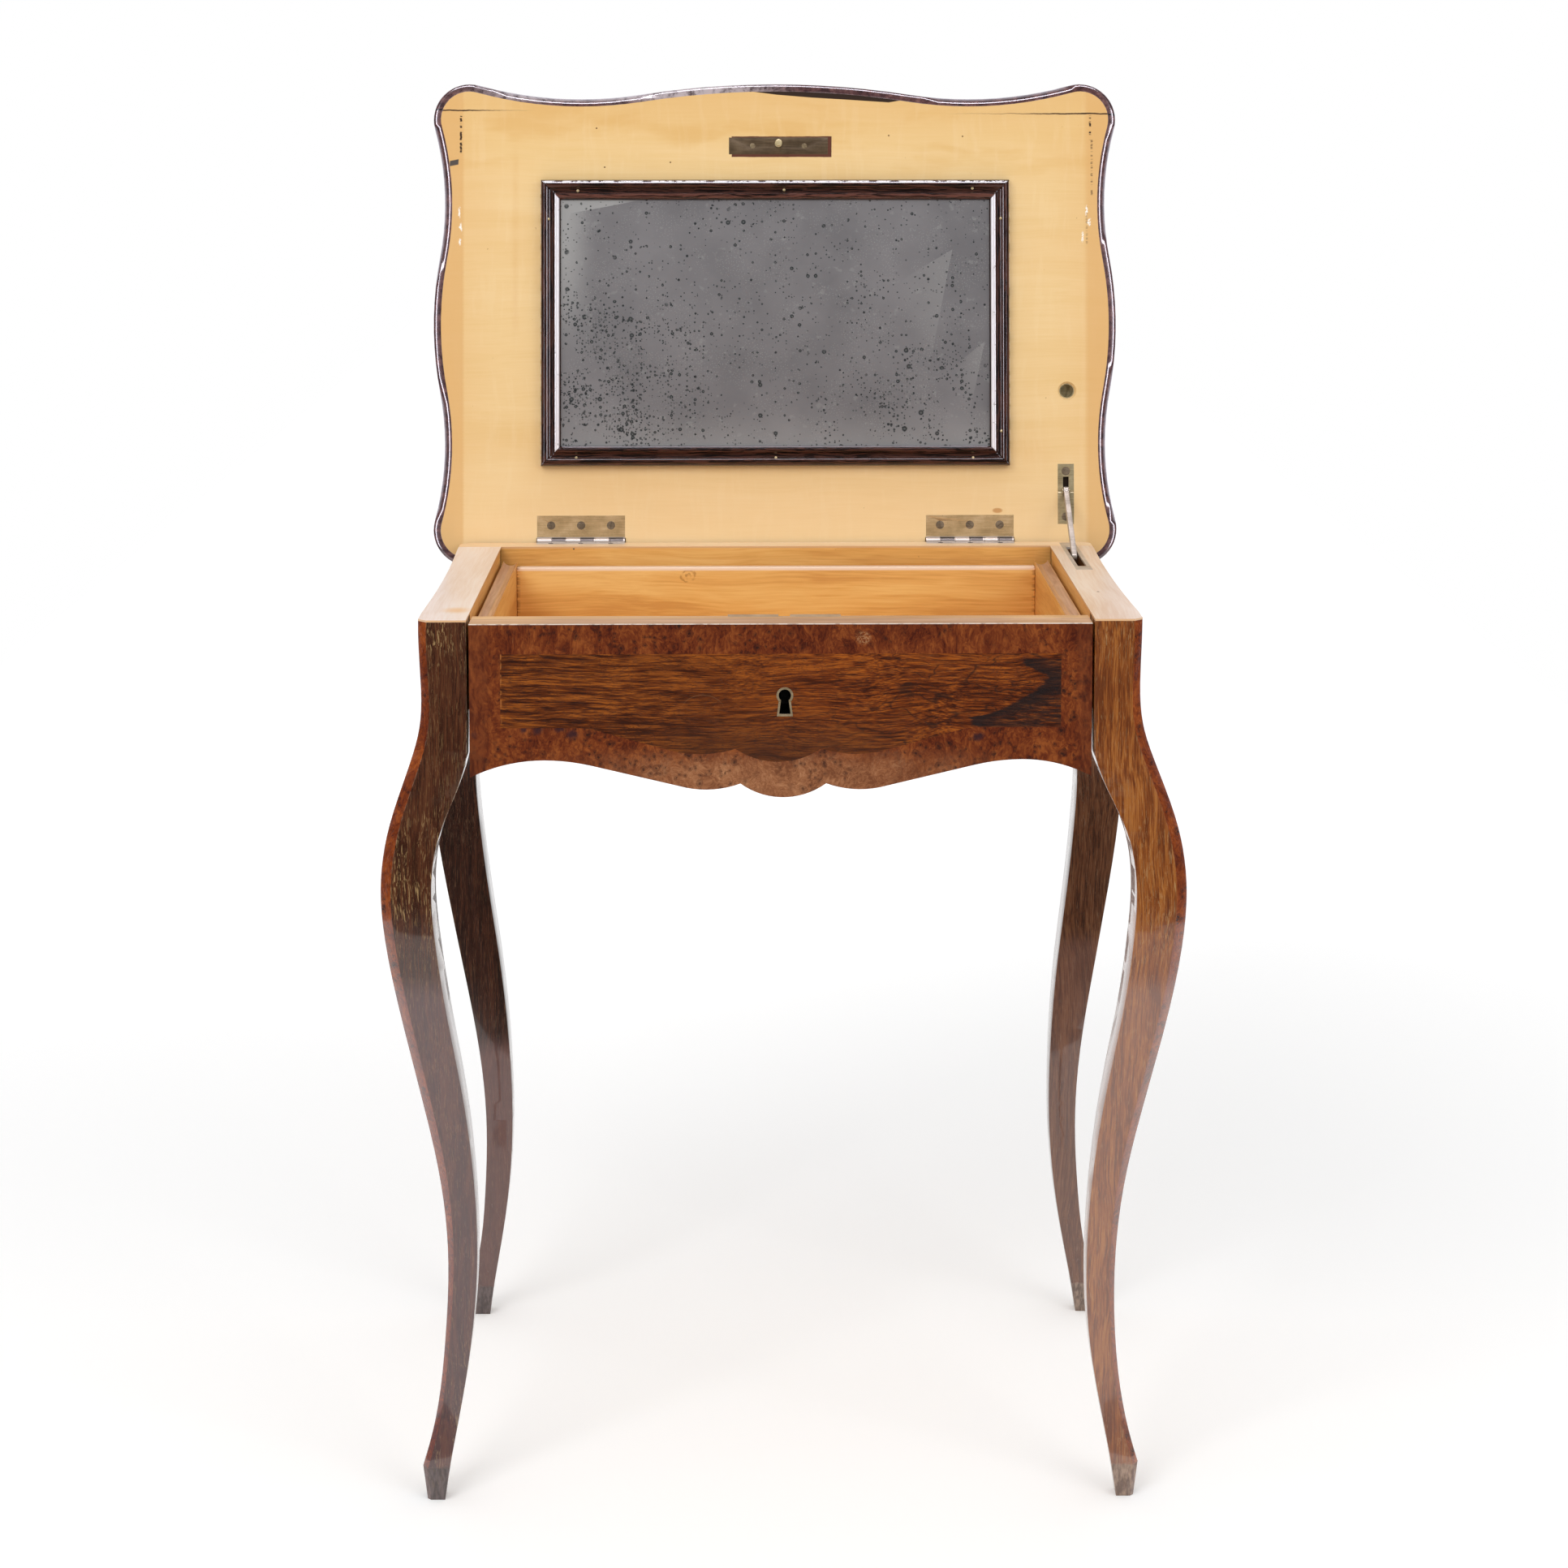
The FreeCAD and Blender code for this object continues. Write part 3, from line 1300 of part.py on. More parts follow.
for side in (-1, 1):
    make_side(side)
make_back()
make_caps()
make_legs()
make_hinges()
make_stay()
make_lid()
make_lid_fittings()
make_mirror()
make_drawer_front()
make_drawer_box()
make_lock()
doc.recompute()
check_document()
write_parts()
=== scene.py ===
# %% [markdown]
# # A small dressing table with a mirror in its lid
#
# The table stands open: the lid leans back on its two hinges and shows a framed looking glass. The
# construction comes finished, in real sizes. This lesson gives it its woods, its glass and its metals,
# refines its edges, and adds the small things that a model of the construction leaves out.

# %% Load the finished construction
import json
import math

import bpy
from mathutils import Matrix, Vector

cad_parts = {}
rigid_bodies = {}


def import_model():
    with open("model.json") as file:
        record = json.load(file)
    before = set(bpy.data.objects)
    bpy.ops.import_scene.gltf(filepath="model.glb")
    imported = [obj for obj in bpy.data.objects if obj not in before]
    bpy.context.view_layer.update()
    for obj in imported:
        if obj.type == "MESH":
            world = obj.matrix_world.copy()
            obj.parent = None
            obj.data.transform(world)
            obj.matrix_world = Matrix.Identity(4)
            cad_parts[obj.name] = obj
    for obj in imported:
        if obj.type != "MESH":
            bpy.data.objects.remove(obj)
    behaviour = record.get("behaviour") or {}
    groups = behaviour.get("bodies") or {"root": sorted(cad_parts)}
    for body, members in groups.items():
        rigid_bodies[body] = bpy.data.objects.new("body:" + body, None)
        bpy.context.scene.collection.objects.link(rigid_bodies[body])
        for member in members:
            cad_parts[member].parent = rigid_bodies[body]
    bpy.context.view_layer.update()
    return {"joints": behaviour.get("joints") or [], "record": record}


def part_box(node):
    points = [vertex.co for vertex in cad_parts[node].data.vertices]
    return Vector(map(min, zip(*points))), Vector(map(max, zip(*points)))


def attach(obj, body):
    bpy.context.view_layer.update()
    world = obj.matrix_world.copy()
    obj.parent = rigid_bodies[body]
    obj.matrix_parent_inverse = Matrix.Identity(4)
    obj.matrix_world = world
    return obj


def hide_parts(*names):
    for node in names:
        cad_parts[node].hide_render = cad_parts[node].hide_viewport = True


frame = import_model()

record = frame["record"]
body_of = {node: body for body, nodes in record["behaviour"]["bodies"].items() for node in nodes}
print("pieces of the construction:", len(body_of))

# %% [markdown]
# ## The camera
#
# The picture was taken from a little above the table's top, with a lens shifted down so that the legs
# stay upright. The same camera is set up here from its measured place.

# %% Set the camera where the photographer stood
PHOTO_SIZE = 1932
FOCAL_PIXELS = 3947.9
LEVEL_ROW = 432.9
CAMERA_PLACE = Vector((-0.0294, -2.6376, 1.1367))
CAMERA_TURN = math.radians(0.75)
CAMERA_DIP = math.radians(5.42)
SENSOR = 36.0

camera_data = bpy.data.cameras.new("view")
camera_data.sensor_width = SENSOR
camera_data.lens = FOCAL_PIXELS / PHOTO_SIZE * SENSOR
camera_data.shift_y = (LEVEL_ROW - PHOTO_SIZE / 2) / PHOTO_SIZE
camera_data.clip_end = 50.0
camera = bpy.data.objects.new("view", camera_data)
camera.location = CAMERA_PLACE
camera.rotation_euler = (math.radians(90) - CAMERA_DIP, 0.0, -CAMERA_TURN)
bpy.context.scene.collection.objects.link(camera)
bpy.context.scene.camera = camera
print("lens", round(camera_data.lens, 2), "mm")

# %% [markdown]
# ## From the photograph to the table
#
# Marks such as cracks, stains and nails are read off the photograph as pixels. A pixel is a ray from
# the camera, and where the ray meets a known plane is the mark's place. The lid has its own frame,
# turned up on its hinge line: X to the right, Y away from the hinge, Z out of its underside.

# %% Find places from pixels
hinge_line = next(joint for joint in frame["joints"] if joint["name"] == "lid_hinge")
LID_AXIS = Vector(hinge_line["pos_m"])
LID_TURN = math.radians(83.5)
lid_frame = Matrix.Translation(LID_AXIS) @ Matrix.Rotation(LID_TURN, 4, "X")
LID_FACING = lid_frame.to_3x3() @ Vector((0.0, 0.0, 1.0))
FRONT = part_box("drawer_front_band")[0][1]
CASE_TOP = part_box("rail_cap_left")[1][2]


def ray_of(column, row):
    """The direction in which the photograph looks at a pixel."""
    ray = Vector((column - PHOTO_SIZE / 2, LEVEL_ROW - row, -FOCAL_PIXELS))
    return (camera.rotation_euler.to_matrix() @ ray).normalized()


def seen_at(column, row, on_plane, facing):
    """The place on a plane that the photograph shows at a pixel."""
    ray = ray_of(column, row)
    facing = Vector(facing)
    return CAMERA_PLACE + ray * ((Vector(on_plane) - CAMERA_PLACE).dot(facing) / ray.dot(facing))


def on_lid(column, row):
    """A pixel's place on the lid's underside, in the lid's own frame."""
    return lid_frame.inverted() @ seen_at(column, row, LID_AXIS, LID_FACING)


def on_front(column, row):
    """A pixel's place on the drawer front."""
    return seen_at(column, row, (0.0, FRONT, 0.0), (0.0, 1.0, 0.0))


def on_top(column, row):
    """A pixel's place on the top of the case."""
    return seen_at(column, row, (0.0, 0.0, CASE_TOP), (0.0, 0.0, 1.0))


print("the frame's middle pin sits at", [round(value, 3) for value in on_lid(965, 233)])

# %% [markdown]
# ## Light
#
# The photograph is a studio picture: soft light from all round, a white screen behind the table and a
# dark room on every other side. Polished wood shows that plainly. Faces that look at the camera mirror
# the room and keep their deep colour, and faces seen at a slant mirror the screen and turn white. The
# world does the same for glossy rays. Two soft lamps light the table and aren't mirrored. Three long
# strips at the sides and above are only mirrored, and draw the bright lines along the mouldings.

# %% Light the studio
LIGHT_ALL_ROUND = 0.75
DARK_SIDE = 0.035
MIRRORED_WHITE = 0.92
MIRRORED_TINT = (0.93, 0.89, 1.0)
SCREEN_EDGE = (0.10, 0.75)
TABLE_MIDDLE = Vector((0.0, 0.0, 0.75))

# Each lamp's name, place, width, height and power, and whether it is only mirrored
LAMPS = (("key", (-1.4, -2.4, 2.7), 1.6, 1.6, 34.0, False),
         ("fill", (1.9, -2.2, 2.0), 1.6, 1.6, 17.0, False),
         ("left_strip", (-2.3, -1.7, 0.9), 0.9, 2.4, 110.0, True),
         ("right_strip", (2.3, -1.7, 0.9), 0.9, 2.4, 110.0, True),
         ("top_strip", (0.0, -0.5, 3.2), 3.0, 0.5, 100.0, True))


def studio_world():
    """Even light, white for the camera. Reflections find white behind the table and dark elsewhere."""
    world = bpy.data.worlds.new("studio")
    world.use_nodes = True
    nodes = world.node_tree.nodes
    links = world.node_tree.links

    def reckon(operation, first, second):
        made = nodes.new("ShaderNodeMath")
        made.operation = operation
        for socket, value in zip(made.inputs, (first, second)):
            if isinstance(value, bpy.types.NodeSocket):
                links.new(value, socket)
            else:
                socket.default_value = value
        return made.outputs[0]

    path = nodes.new("ShaderNodeLightPath")
    direction = nodes.new("ShaderNodeTexCoord")
    split = nodes.new("ShaderNodeSeparateXYZ")
    links.new(direction.outputs["Generated"], split.inputs[0])
    rise = nodes.new("ShaderNodeMapRange")
    rise.interpolation_type = "SMOOTHSTEP"
    links.new(split.outputs[1], rise.inputs[0])
    for socket, value in zip(rise.inputs[1:5], (*SCREEN_EDGE, DARK_SIDE, MIRRORED_WHITE)):
        socket.default_value = value
    glossy = path.outputs["Is Glossy Ray"]
    direct = reckon("MAXIMUM", path.outputs["Is Camera Ray"], path.outputs["Is Transmission Ray"])
    plain = reckon("SUBTRACT", 1.0, reckon("MAXIMUM", direct, glossy))
    strength = reckon(
        "ADD", reckon("MULTIPLY", plain, LIGHT_ALL_ROUND),
        reckon("ADD", direct, reckon("MULTIPLY", glossy, rise.outputs[0])))
    links.new(strength, nodes["Background"].inputs["Strength"])
    tint = nodes.new("ShaderNodeMix")
    tint.data_type = "RGBA"
    tint.inputs["A"].default_value = (1.0, 1.0, 1.0, 1.0)
    tint.inputs["B"].default_value = (*MIRRORED_TINT, 1.0)
    links.new(glossy, tint.inputs["Factor"])
    links.new(tint.outputs["Result"], nodes["Background"].inputs["Color"])
    bpy.context.scene.world = world


def soft_lamp(name, place, wide, tall, power, mirrored):
    """A soft lamp that faces the table, and either lights it or is only mirrored in it."""
    data = bpy.data.lights.new(name, "AREA")
    data.shape = "RECTANGLE"
    data.size = wide
    data.size_y = tall
    data.energy = power
    if mirrored:
        data.color = MIRRORED_TINT
    lamp = bpy.data.objects.new(name, data)
    lamp.location = place
    lamp.rotation_euler = (TABLE_MIDDLE - Vector(place)).to_track_quat("-Z", "Y").to_euler()
    lamp.visible_glossy = mirrored
    lamp.visible_diffuse = not mirrored
    bpy.context.scene.collection.objects.link(lamp)


studio_world()
for lamp in LAMPS:
    soft_lamp(*lamp)
bpy.context.scene.view_settings.view_transform = "Standard"
print("lamps:", [name for name, *_ in LAMPS])

# %% [markdown]
# ## Writing a material as sums
#
# A finish is a sum of simple patterns: fibres, pores, stains, wear. Blender builds it from nodes, and
# a small wrapper lets the nodes be written like arithmetic, so that `1 - mask` adds a Math node by
# itself. Every other node is added by the one method called `node`.

# %% A socket that can be reckoned with


class Signal:
    """One output of a shader node; arithmetic on it adds Math nodes."""

    def __init__(self, paint, socket):
        self.paint = paint
        self.socket = socket

    def math(self, operation, *values):
        return self.paint.node("ShaderNodeMath", {"operation": operation}, *values)

    def __add__(self, other):
        return self.math("ADD", self, other)

    def __sub__(self, other):
        return self.math("SUBTRACT", self, other)

    def __rsub__(self, other):
        return self.math("SUBTRACT", other, self)

    def __mul__(self, other):
        return self.math("MULTIPLY", self, other)

    def __truediv__(self, other):
        return self.math("DIVIDE", self, other)

    def __abs__(self):
        return self.math("ABSOLUTE", self)

    def most(self, other):
        return self.math("MAXIMUM", self, other)

    def least(self, other):
        return self.math("MINIMUM", self, other)

    __radd__ = __add__
    __rmul__ = __mul__


class Paint:
    """A material in the making, with the patterns that the table's finishes share."""

    def __init__(self, name, rough=0.4, shine=0.5, metal=0.0, coat=0.0, coat_rough=0.08):
        self.material = bpy.data.materials.new(name)
        self.material.use_nodes = True
        self.tree = self.material.node_tree
        self.shader = self.tree.nodes["Principled BSDF"]
        self.shader.inputs["Roughness"].default_value = rough
        self.shader.inputs["Specular IOR Level"].default_value = shine
        self.shader.inputs["Metallic"].default_value = metal
        self.shader.inputs["Coat Weight"].default_value = coat
        self.shader.inputs["Coat Roughness"].default_value = coat_rough
        self.place = self.node("ShaderNodeTexCoord", output="Object")

    def feed(self, socket, value):
        if isinstance(value, Signal):
            self.tree.links.new(value.socket, socket)
        elif socket.type == "RGBA" and len(value) == 3:
            socket.default_value = (*value, 1.0)
        else:
            socket.default_value = value

    def node(self, kind, settings=None, *values, output=None, **named):
        """Adds a node: its settings first, then its inputs in order or by name."""
        made = self.tree.nodes.new(kind)
        for key, value in (settings or {}).items():
            if key == "stops":
                self.set_stops(made.color_ramp, value)
            else:
                setattr(made, key, value)
        inputs = [socket for socket in made.inputs if not socket.is_unavailable]
        for socket, value in zip(inputs, values):
            if value is not None:
                self.feed(socket, value)
        for key, value in named.items():
            self.feed(made.inputs[key], value)
        outputs = [socket for socket in made.outputs if not socket.is_unavailable]
        return Signal(self, made.outputs[output] if output else outputs[0])

    def set_stops(self, ramp, stops):
        while len(ramp.elements) < len(stops):
            ramp.elements.new(1.0)
        for element, (position, colour) in zip(ramp.elements, stops):
            element.position = position
            element.color = (*colour, 1.0)

    def lid_place(self):
        """The place in the lid's own frame."""
        return self.node(
            "ShaderNodeMapping", {"vector_type": "TEXTURE"}, self.place, LID_AXIS, (LID_TURN, 0.0, 0.0))

    def scaled(self, place, x, y, z):
        return self.node("ShaderNodeVectorMath", {"operation": "MULTIPLY"}, place, (x, y, z))

    def moved(self, place, offset):
        return self.node("ShaderNodeVectorMath", {"operation": "ADD"}, place, offset)

    def split(self, place):
        made = self.tree.nodes.new("ShaderNodeSeparateXYZ")
        self.feed(made.inputs[0], place)
        return [Signal(self, socket) for socket in made.outputs]

    def noise(self, place, scale=1.0, detail=4.0, rough=0.55, twist=0.0, output=None):
        return self.node("ShaderNodeTexNoise", None, place, Scale=scale, Detail=detail, Roughness=rough,
                         Distortion=twist, output=output)

    def drift(self, place, scale, reach):
        """The place, pushed about by soft noise up to about a given reach."""
        push = self.moved(self.noise(place, scale, 2.0, output="Color"), (-0.5, -0.5, -0.5))
        return self.moved(place, self.scaled(push, 2 * reach, 2 * reach, 2 * reach))

    def cells(self, flat, scale, output="Distance"):
        """Cells over X and Y: the way to a cell's middle, or the cell's random colour."""
        settings = {"voronoi_dimensions": "2D"}
        return self.node("ShaderNodeTexVoronoi", settings, flat, Scale=scale, output=output)

    def upright(self, place):
        """The place as seen from the front: its X, and its Z as the second coordinate."""
        x, _, z = self.split(place)
        return self.node("ShaderNodeCombineXYZ", None, x, z, 0.0)

    def rise(self, value, low, high):
        """0 up to low and 1 from high, or the other way round where low is the greater."""
        settings = {"interpolation_type": "SMOOTHSTEP"}
        if low > high:
            return 1 - self.node("ShaderNodeMapRange", settings, value, high, low)
        return self.node("ShaderNodeMapRange", settings, value, low, high)

    def between(self, value, low, high, soft):
        """1 between two values, with soft ends."""
        return self.rise(value, low - soft, low + soft) * self.rise(value, high + soft, high - soft)

    def mix(self, factor, first, second):
        return self.node("ShaderNodeMix", {"data_type": "RGBA"}, factor, first, second)

    def ramp(self, value, *stops):
        return self.node("ShaderNodeValToRGB", {"stops": stops}, value, output="Color")

    def near(self, place, spot, reach, soft=0.45):
        """1 at a spot and 0 past its reach along X, Y and Z."""
        shifted = self.moved(place, tuple(-value for value in spot))
        shifted = self.scaled(shifted, *(1 / value for value in reach))
        away = self.node("ShaderNodeVectorMath", {"operation": "LENGTH"}, shifted, output="Value")
        return self.rise(away, 1.0, 1.0 - soft)

    def facing(self):
        """How far the surface faces along X, Y and Z."""
        return self.split(self.node("ShaderNodeNewGeometry", output="True Normal"))

    def edges(self, radius, strength=1.0):
        """1 along the piece's own edges, found by how a rounded normal turns from the flat one."""
        rounded = self.node("ShaderNodeBevel", {"samples": 4}, radius)
        flat = self.node("ShaderNodeNewGeometry", output="True Normal")
        settings = {"operation": "DOT_PRODUCT"}
        same = self.node("ShaderNodeVectorMath", settings, rounded, flat, output="Value")
        return ((1 - same) * strength).least(1.0)

    def relief(self, height, depth, strength=1.0):
        """Lays a fine relief on the surface."""
        bump = self.node("ShaderNodeBump", None, Strength=strength, Distance=depth, Height=height)
        self.feed(self.shader.inputs["Normal"], bump)

    def done(self, colour, rough=None):
        self.feed(self.shader.inputs["Base Color"], colour)
        if rough is not None:
            self.feed(self.shader.inputs["Roughness"], rough)
        return self.material


def fibres(paint, place, along, fine, length, detail=4.0):
    """Noise drawn out along the grain: fine is the fibres per metre, length their share along it."""
    reach = [fine, fine, fine]
    reach["xyz".index(along)] = fine * length
    return paint.noise(paint.scaled(place, *reach), 1.0, detail)


# %% [markdown]
# ## Burr veneer
#
# The borders of the drawer front and the outer corners of the legs are faced with burr: orange-brown
# wood whose fibres swirl round clusters of tiny dark eyes. Soft noise that pushes its own coordinates
# about gives the swirl. The cells of a Voronoi pattern give the eyes: a few cells are picked by their
# random colour, and each gets a dark core and a fainter ring.

# %% Mix the burr
BURR_TONES = ((0.062, 0.008, 0.002), (0.145, 0.026, 0.004), (0.27, 0.068, 0.011))
BURR_WARM = ((0.100, 0.013, 0.001), (0.215, 0.038, 0.003), (0.35, 0.078, 0.008))
BURR_GOLDEN = ((0.17, 0.055, 0.020), (0.29, 0.110, 0.044), (0.42, 0.19, 0.085))
BURR_EYE = (0.024, 0.007, 0.005)
GOLDEN_EYE = (0.085, 0.030, 0.014)
SMALL_EYES = (260.0, 0.22, 0.30)
LARGE_EYES = (115.0, 0.16, 0.22)


def eyes(paint, place, scale, size, share):
    """Dark eyes with a ring, in a given share of the cells."""
    away = paint.cells(place, scale)
    pick = paint.split(paint.cells(place, scale, "Color"))[0]
    chosen = paint.rise(pick, 1 - share, 1.04 - share)
    core = paint.rise(away, size, size * 0.6)
    halo = paint.rise(away, size * 2.6, size * 1.2) * 0.45
    ring = paint.rise(abs(away - size * 1.9), size * 0.5, 0.0) * 0.6
    return core.most(ring).most(halo) * chosen


def burr_colour(paint, place, tones=BURR_TONES, pull=1.0, eye=BURR_EYE):
    """The burr's colour at a place, from three tones, its figure drawn out along Z."""
    drawn = paint.scaled(place, 1.0, 1.0, pull)
    swirled = paint.drift(paint.drift(drawn, 30.0, 0.012), 120.0, 0.003)
    cloud = paint.noise(swirled, 60.0, 5.0, 0.62)
    curl = paint.noise(swirled, 420.0, 4.0, 0.65, 0.8)
    tone = cloud * 0.5 + curl * 0.5
    colour = paint.ramp(tone, (0.39, tones[0]), (0.50, tones[1]), (0.62, tones[2]))
    gathered = paint.rise(paint.noise(place, 26.0, 2.0), 0.42, 0.58)
    bent = paint.upright(paint.drift(place, 160.0, 0.002))
    small = eyes(paint, bent, *SMALL_EYES) * gathered
    large = eyes(paint, bent, *LARGE_EYES) * (gathered * 0.7 + 0.3)
    colour = paint.mix(small * 0.85, colour, eye)
    return paint.mix(large * 0.90, colour, eye)


def hairlines(paint, place, along, amount):
    """Fine pale scratches in the polish, mostly one way."""
    bent = paint.drift(place, 9.0, 0.01)
    thin = fibres(paint, bent, along, 1500.0, 0.02, 2.0)
    wear_and_highlight = paint.rise(paint.noise(place, 14.0, 3.0), 0.50, 0.66)
    return paint.rise(thin, 0.66, 0.74) * wear_and_highlight * amount


print("burr ready")

# %% [markdown]
# ## Rosewood
#
# The legs, the sides and the drawer's field are rosewood: brown with darker streaks, and full of long
# open pores. The streaks, the fibres and the pores are the same noise at three widths, drawn out along
# the grain, and a slow drift of the coordinates makes them wander.

# %% Mix the rosewood
PORE = (0.026, 0.007, 0.002)


def rosewood_colour(paint, place, along, tones, wander=0.006, width=1.0):
    """Rosewood's colour, from three tones, with its grain along one axis."""
    bent = paint.drift(place, 7.0, wander)
    broad = fibres(paint, bent, along, 60.0, 0.06)
    streaks = fibres(paint, bent, along, 300.0 / width, 0.045)
    fine = fibres(paint, bent, along, 1000.0 / width, 0.035)
    tone = broad * 0.20 + streaks * 0.36 + fine * 0.44
    return paint.ramp(tone, (0.43, tones[0]), (0.50, tones[1]), (0.58, tones[2]))


def dashes(paint, place, along, low, high):
    """Short fine marks along the grain: open pores, or scratches."""
    return paint.rise(fibres(paint, place, along, 1500.0, 0.07, 2.0), low, high)


# %% [markdown]
# ### The legs
#
# Every leg has rosewood on its flat faces and burr on the outer corner. Hands and shoes rubbed pale
# hairlines into the left one's knee, a painted reflection of the white floor lies on the lower part of
# each leg, and the last centimetres of the feet are bare grey wood. A painted highlight line runs along
# the arris beside the burr. The grain follows X on the front faces and Y on the side ones, so that it
# runs on over their curves.

# %% Finish the legs
FLOOR_REFLECTION_ROW = 1185
KNEE_ROWS = (1175, 1000)
NECK_ROWS = (840, 790)
ARRIS_HIGHLIGHT_ROWS = (1060, 900)
FOOT_ROW = 1804
ANKLE = (0.15, 0.06)
CORNER_FROM = (0.45, 0.62)
ARRIS_HIGHLIGHT_COLOUR = (0.78, 0.62, 0.44)


def level_of(row):
    """The height on the front legs that a row of the photograph shows."""
    return on_front(PHOTO_SIZE / 2, row).z


def leg_finish(name, tones, floor_reflection_amount, floor_reflection_from, floor_reflection_colour, wear, wear_colour, sole, burr=BURR_TONES):
    paint = Paint(name, rough=0.22, coat=0.8, coat_rough=0.06)
    place = paint.place
    z = paint.split(place)[2]
    across, deep, _ = (abs(part) for part in paint.facing())
    sideways = paint.rise(across - deep, -0.1, 0.1)
    grain = paint.mix(
        sideways, paint.scaled(place, 1.0, 0.12, 1.0), paint.scaled(place, 0.12, 1.0, 1.0))
    colour = rosewood_colour(paint, grain, "z", tones, 0.010)
    colour = paint.mix(dashes(paint, grain, "z", 0.60, 0.66) * 0.16, colour, wear_colour)
    patches = paint.noise(paint.scaled(place, 55.0, 55.0, 13.0), 1.0, 5.0, 0.7)
    scratch = fibres(paint, paint.drift(grain, 30.0, 0.004), "z", 1200.0, 0.06, 5.0)
    knee = paint.between(z, level_of(KNEE_ROWS[0]), level_of(KNEE_ROWS[1]), 0.02)
    neck = paint.rise(z, level_of(NECK_ROWS[0]), level_of(NECK_ROWS[1])) * 0.8
    ankle = paint.rise(z, *ANKLE) * 0.7
    wear_and_highlight = (knee + neck + ankle + 0.15).least(1.0) * paint.rise(patches, 0.46, 0.60)
    wear_and_highlight = wear_and_highlight * paint.rise(scratch, 0.55, 0.62) * wear
    colour = paint.mix(wear_and_highlight, colour, wear_colour)
    corner = paint.rise(across.least(deep) / across.most(deep), *CORNER_FROM)
    colour = paint.mix(corner, colour, burr_colour(paint, place, burr, 0.6))
    # Painted reflection of the white floor on the lower leg, broken up by soft clouds.
    floor_reflection_mask = paint.rise(z, floor_reflection_from, floor_reflection_from - 0.025) * floor_reflection_amount
    cloudy = paint.noise(place, 90.0, 4.0, 0.7) * 0.4 + 0.80
    colour = paint.mix(floor_reflection_mask * cloudy, colour, floor_reflection_colour)
    edge = level_of(FOOT_ROW)
    ragged = z + (paint.noise(place, 300.0, 3.0) - 0.5) * 0.006
    foot = paint.rise(ragged, edge + 0.001, edge - 0.002)
    bare = paint.ramp(fibres(paint, place, "z", 420.0, 0.3), (0.38, sole[0]), (0.62, sole[1]))
    colour = paint.mix(foot * 0.75, colour, bare)
    # A painted highlight along the arrises, strongest between two rows and broken by noise.
    bright = paint.between(z, level_of(ARRIS_HIGHLIGHT_ROWS[0]), level_of(ARRIS_HIGHLIGHT_ROWS[1]), 0.03)
    broken = paint.rise(paint.noise(place, 160.0, 4.0, 0.7), 0.40, 0.56)
    arris_highlight = paint.edges(0.0010, 2.6) * (bright * 0.65 + 0.15) * broken
    colour = paint.mix(arris_highlight, colour, ARRIS_HIGHLIGHT_COLOUR)
    paint.relief(dashes(paint, grain, "z", 0.5, 0.7) + wear_and_highlight, 0.00005)
    return paint.done(colour, (wear_and_highlight * 0.3 + foot * 0.25 + 0.26).least(0.8))


# The height on the front legs where the painted floor reflection begins.
FRONT_FLOOR_REFLECTION = level_of(FLOOR_REFLECTION_ROW)
DARK_SOLE = ((0.034, 0.027, 0.026), (0.12, 0.092, 0.090))
PALE_SOLE = ((0.110, 0.075, 0.055), (0.37, 0.27, 0.20))
left_leg = leg_finish(
    "rosewood_left_leg", ((0.036, 0.009, 0.002), (0.063, 0.0165, 0.005), (0.103, 0.032, 0.010)),
    0.20, FRONT_FLOOR_REFLECTION, (0.30, 0.225, 0.25), 0.62, (0.50, 0.32, 0.12), DARK_SOLE, BURR_WARM)
right_leg = leg_finish(
    "rosewood_right_leg", ((0.130, 0.030, 0.004), (0.232, 0.062, 0.008), (0.35, 0.120, 0.020)),
    0.20, FRONT_FLOOR_REFLECTION, (0.44, 0.32, 0.285), 0.28, (0.62, 0.43, 0.18), PALE_SOLE, BURR_WARM)
rear_leg_left = leg_finish(
    "rosewood_rear_left", ((0.016, 0.005, 0.002), (0.033, 0.0095, 0.004), (0.058, 0.019, 0.008)),
    0.22, 0.27, (0.42, 0.22, 0.20), 0.15, (0.30, 0.19, 0.10), DARK_SOLE)
rear_leg_right = leg_finish(
    "rosewood_rear_right", ((0.050, 0.016, 0.005), (0.100, 0.034, 0.012), (0.155, 0.062, 0.024)),
    0.20, 0.36, (0.36, 0.205, 0.17), 0.15, (0.36, 0.24, 0.14), PALE_SOLE)
print("legs ready")

# %% [markdown]
# ### The drawer front
#
# The field between the burr borders is the finest rosewood on the table: golden streaks at the left,
# redder and wilder to the right, and a black flash near the right end. The flash's left edge is drawn
# as a curve over the height: at each level the curve says where the black begins.

# %% Finish the drawer front
DARK_CLOUDS = ((644, 899, 0.004), (663, 900, 0.006), (689, 899, 0.006), (705, 905, 0.006),
               (584, 905, 0.004), (1206, 907, 0.006))
SCRATCH_MIDDLE = (866, 878)
SCRATCH_REACH = 0.020
FLASH_EDGE = ((812, 1262), (818, 1257), (824, 1272), (832, 1290), (848, 1279), (862, 1256), (876, 1229),
              (884, 1196), (896, 1200))
FLASH_COLUMNS = (1190, 1310)
FLASH_MIDDLE = 1250
STRING_COLUMNS = (613, 618)
FIELD_ROW = 850
RED_FROM = (-0.12, 0.06)
VEINS_FROM = (-0.02, 0.10)
DUSK_HEIGHTS = (0.640, 0.590)
DUSK_REACH = (0.16, 0.04)
GOLDEN_HEIGHTS = (0.605, 0.580)
GOLDEN_REACH = (0.20, 0.04)
ENDS_FROM = (0.222, 0.232)
TOP_EDGE_HIGHLIGHT = (0.6962, 0.6965)
